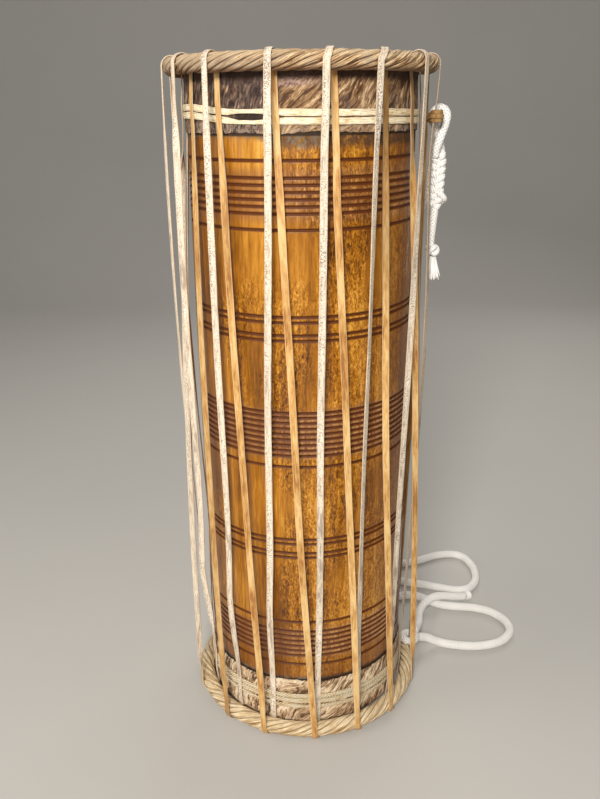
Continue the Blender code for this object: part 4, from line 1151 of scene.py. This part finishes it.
def bowed_run(start, end, bow, drift, pulls=()):
    """Points between two others, on a curve that stands out and drifts round the drum."""
    start, end = np.array(start), np.array(end)
    middle = (start + end) / 2
    outward = unit(np.array([middle[0], middle[1], 0.0]))
    around = np.array([-outward[1], outward[0], 0.0])
    points = []
    for step in range(1, BOW_STEPS):
        share = step / BOW_STEPS
        lift = 1 - (2 * share - 1) ** 2
        point = start + (end - start) * share + lift * (outward * bow + around * drift)
        for height, spread, push, turn in pulls:
            near = math.exp(-((point[2] - height) / spread) ** 2)
            near = near * min(1, 10 * share, 6 * (1 - share))
            point = point + near * (outward * push + around * turn)
        points.append(point)
    return points


def half_turn(before, after, middle, lift):
    """Points round a hoop from one azimuth to another, over it or, with a negative lift, under."""
    points = []
    for step in range(WRAP_STEPS + 1):
        share = step / WRAP_STEPS
        angle = math.pi * (1 - share)
        points.append(on_drum(HOOP_RADIUS + WRAP_RADIUS * math.cos(angle),
                              before + (after - before) * share,
                              middle + lift * math.sin(angle)))
    return points


def over_binding(radius, heights, before, after):
    """Points where a run crosses a binding, from azimuths and heights of the run's two ends."""
    points = []
    for height in heights:
        share = (height - before[1]) / (after[1] - before[1])
        points.append(on_drum(radius, before[0] + (after[0] - before[0]) * share, height))
    return points


def lace_corners(index):
    """The points that a length passes through, from behind the upper hoop to behind it again."""
    pale_top, pale_foot, tan_foot, tan_top = lace_marks(index)
    next_tan_top = lace_marks((index + 1) % LACE_COUNT)[3]
    if next_tan_top < pale_top - 180:
        next_tan_top += 360
    top, bottom = DRUM_HEIGHT - HOOP_RISE, HOOP_RISE
    splice = top - LACE_SPLICE_DROP
    inner = HOOP_RADIUS - WRAP_RADIUS
    pulls = [pull[1:] for pull in PALE_PULLS if pull[0] == index]
    corners = [on_drum(inner, next_tan_top, top - LACE_TAIL),
               *half_turn(next_tan_top, pale_top, top, WRAP_RADIUS)]
    crossing = over_binding(BOTTOM_OUTSIDE, LOWER_CROSSING, (pale_top, top), (pale_foot, bottom))
    corners += bowed_run(corners[-1], crossing[0], PALE_BOW[index], PALE_DRIFT[index], pulls)
    corners += [*crossing, *half_turn(pale_foot, tan_foot, bottom, -WRAP_RADIUS)]
    crossing = over_binding(TOP_OUTSIDE, UPPER_CROSSING, (tan_foot, bottom), (tan_top, splice))
    corners += bowed_run(corners[-1], crossing[0], TAN_BOW[index], TAN_DRIFT[index])
    corners += [*crossing, on_drum(inner, tan_top, splice),
                on_drum(inner, tan_top, splice + LACE_TAIL)]
    return np.array(corners)


def lace_length(index):
    """One length of the thong."""
    corners = lace_corners(index)
    reach = run_lengths(corners)
    stations = [0.0]
    for low, high in zip(reach, reach[1:]):
        count = max(1, math.ceil((high - low) / LACE_STATION))
        stations += list(np.linspace(low, high, count + 1)[1:])
    stations = np.array(stations)
    route = resampled(corners, reach, stations)
    ahead = unit(np.gradient(route, stations, axis=0))
    side = unit(np.column_stack([-route[:, 1], route[:, 0], 0 * route[:, 0]]))
    side = unit(side - ahead * np.sum(side * ahead, axis=1, keepdims=True))
    face = np.cross(ahead, side)
    # The long runs are free between the hoops, so there they wander and turn a little
    going_down = stations < reach[-1] / 2
    low = np.where(going_down, 0.070, 0.022)
    high = np.where(going_down, 0.662, 0.620)
    above, below = (route[:, 2] - low) / 0.045, (high - route[:, 2]) / 0.045
    free = np.clip(above, 0, 1) * np.clip(below, 0, 1)
    free = free * free * (3 - 2 * free)
    phase = stations * 9.0 + index * 2.3
    drift = free * (0.00050 * np.sin(phase) + 0.00035 * np.sin(phase * 2.3 + 1))
    twist = np.where(going_down, PALE_TWIST[index], TAN_TWIST[index])
    if index == PALE_TURNING:
        turning = np.interp(route[:, 2], TURNING_HEIGHTS, (LOW_TWIST, PALE_TWIST[index]))
        twist = np.where(going_down, turning, twist)
    twist = twist + 5.0 * np.sin(phase * 1.3 + index) + 4.0 * np.sin(phase * 3.1)
    turned = free * np.radians(twist)
    route = route + side * drift[:, None]
    cosine, sine = np.cos(turned)[:, None], np.sin(turned)[:, None]
    side, face = side * cosine + face * sine, face * cosine - side * sine
    rows = len(route) - 1
    # Painted shade on the lengths that lie in shade, by height
    lace_shade = [np.interp(route[:, 2], SHADE_HEIGHTS, marks.get(index, (0, 0)))
             for marks in (PALE_SHADE, TAN_SHADE)]
    lace_shade = np.where(going_down, *lace_shade)

    def place(across, along, station):
        corner = across * math.tau
        wide = flattened(np.cos(corner), 0.35)
        thick = flattened(np.sin(corner), 0.35)
        place_on = stations[station]
        nibble = (0.965 + 0.02 * np.sin(place_on * 61 + index)
                  + 0.015 * np.sin(place_on * 187 + 2 * index))
        edge = 1 - 0.02 * np.abs(np.sin(place_on * 411 + np.sign(wide) * 2))
        full = LACE_WIDTH + (FREE_LACE_WIDTH - LACE_WIDTH) * free[station]
        half = full / 2 * nibble * edge
        curl = 0.00012 * (wide * wide - 0.4) * free[station]
        points = beside(route, (side, face), station, wide * half,
                        thick * LACE_THICKNESS / 2 - curl)
        return points, {"flesh": np.where(thick < 0, 1.0, 0.0), "width": wide,
                        "batch": np.full(len(across), index / LACE_COUNT),
                        "grimy": lace_shade[station]}

    return wrapped_skin(f"thong_{index + 1:02d}", 20, rows, place)


thong = Finish("speckled_thong", Roughness=0.55, Specular_IOR_Level=0.4)
batch = thong.painted("batch")
own_place = thong.shifted(thong.strip(), thong.vector(batch * 7.3, batch * 31.0, batch * 17.0))
specks = thong.mottle(thong.stretched(own_place, (34, 1500, 1)), 1.0, 3.0, 0.6)
streak = thong.mottle(thong.stretched(own_place, (22, 110, 1)), 1.0, 4.0, 0.6)
patch = thong.mottle(thong.stretched(own_place, (2.2, 26, 1)), 1.0, 3.0, 0.55)
blotted = patch * 0.55 + streak * 0.45
hair_side = thong.shades(blotted, (0.38, (0.415, 0.325, 0.250)), (0.46, (0.740, 0.625, 0.480)),
                         (0.58, (0.910, 0.815, 0.670)))
width = thong.painted("width")
speckled = specks * 0.8 + patch * 0.45 + (1 - abs(width + 0.7).step(0.0, 0.8)) * 0.045
hair_side = thong.blend(speckled.step(0.665, 0.73) * 0.80, hair_side, (0.230, 0.150, 0.100))
flesh_side = thong.shades(blotted, (0.38, (0.370, 0.150, 0.035)), (0.48, (0.610, 0.335, 0.105)),
                          (0.58, (0.800, 0.535, 0.235)))
edges = abs(width).step(0.75, 1.0)
flesh_side = thong.blend(edges * 0.45, flesh_side, (0.860, 0.680, 0.430))
# Painted shade on the laces that lie in shade; on the tie, its own darker tone
grimy = thong.painted("grimy")
hair_side = thong.blend(grimy * (0.55 + specks * 0.6), hair_side, (0.260, 0.160, 0.085))
flesh_side = thong.blend(grimy * (0.55 + edges * 0.40), flesh_side, (0.120, 0.056, 0.014))
thong.feed("Base Color", thong.blend(thong.painted("flesh").step(0.3, 0.7), hair_side, flesh_side))
thong.feed("Roughness", 0.45 + streak * 0.25)
thong.relief(streak * 0.5 + specks * 0.5, 0.0005)
for index in range(LACE_COUNT):
    dressed(lace_length(index), thong, "lacing_thong", f"lace_{index + 1:02d}", smooth=50)


# The tie: three slanting turns of the same thong, wound round one pale run and the near leg of
# the rope's eye, flesh side out. They lie over each other and make one lump.
TIE_HEIGHT = 0.6412
TIE_WIDTH = 0.0046
TIE_LACE = 7
TIE_STEPS = 96
TIE_BEND_STEPS = 14
EYE_LEG = (0.1272, -0.0040)
TIE_TURNS = ((-0.0008, -0.0006, 0.0), (0.0016, 0.0064, 0.0002), (0.0004, 0.0029, 0.0011))


def tied_turn(name, leg_rise, lace_rise, lift):
    """One turn, with its rise at the leg and at the lace, and its lift off the turn under it."""
    pale_top, pale_foot = lace_marks(TIE_LACE)[:2]
    share = (TIE_HEIGHT - HOOP_RISE) / (DRUM_HEIGHT - 2 * HOOP_RISE)
    radius = HOOP_RADIUS + WRAP_RADIUS * (2 * share - 1)
    lace = np.array(on_drum(radius, pale_foot + (pale_top - pale_foot) * share, 0)[:2])
    leg = np.array(EYE_LEG)
    span = np.linalg.norm(leg - lace)
    toward = (leg - lace) / span
    aside = np.array([-toward[1], toward[0]])
    outline = []
    bends = (leg, KNOTTED_RADIUS + 0.00045 + lift, -90), (lace, 0.0041 + lift, 90)
    for centre, reach, start in bends:
        for step in range(TIE_BEND_STEPS + 1):
            angle = math.radians(start + 180 * step / TIE_BEND_STEPS)
            outline.append(centre + reach * (toward * math.cos(angle) + aside * math.sin(angle)))
    outline = np.array([*outline, outline[0]])
    reach = run_lengths(outline)
    ring = resampled(outline, reach, np.linspace(0, reach[-1], TIE_STEPS + 1))
    ring[-1] = ring[0]
    ahead = directions(ring, closed=True)
    outward = np.column_stack([ahead[:, 1], -ahead[:, 0]])
    to_lace = np.clip(1 - (ring - lace) @ toward / span, 0, 1)
    rise = leg_rise + (lace_rise - leg_rise) * to_lace

    def place(across, along, station):
        corner = across * math.tau
        up = flattened(np.cos(corner), 0.8) * TIE_WIDTH / 2
        out = 0.0006 + flattened(np.sin(corner), 0.8) * 0.0009
        crease_shade = 0.00014 * np.abs(np.sin(up * 1500 + along * 9))
        flat = ring[station] + outward[station] * (out - np.where(out > 0.0006, crease_shade, 0))[:, None]
        height = TIE_HEIGHT + rise[station] + up * (0.95 + 0.05 * np.sin(along * 40))
        everywhere = np.ones(len(across))
        return np.column_stack([flat, height]), {
            "flesh": everywhere, "width": np.cos(corner), "batch": (0.4 + 60 * lift) * everywhere,
            "grimy": everywhere}

    return wrapped_skin(name, 24, TIE_STEPS, place, closed=False)


tie_turns = [tied_turn(f"tie_turn_{number}", *turn) for number, turn in enumerate(TIE_TURNS)]
dressed(joined("tie_band", tie_turns), thong, "lacing_thong", "thong_tie", smooth=50)
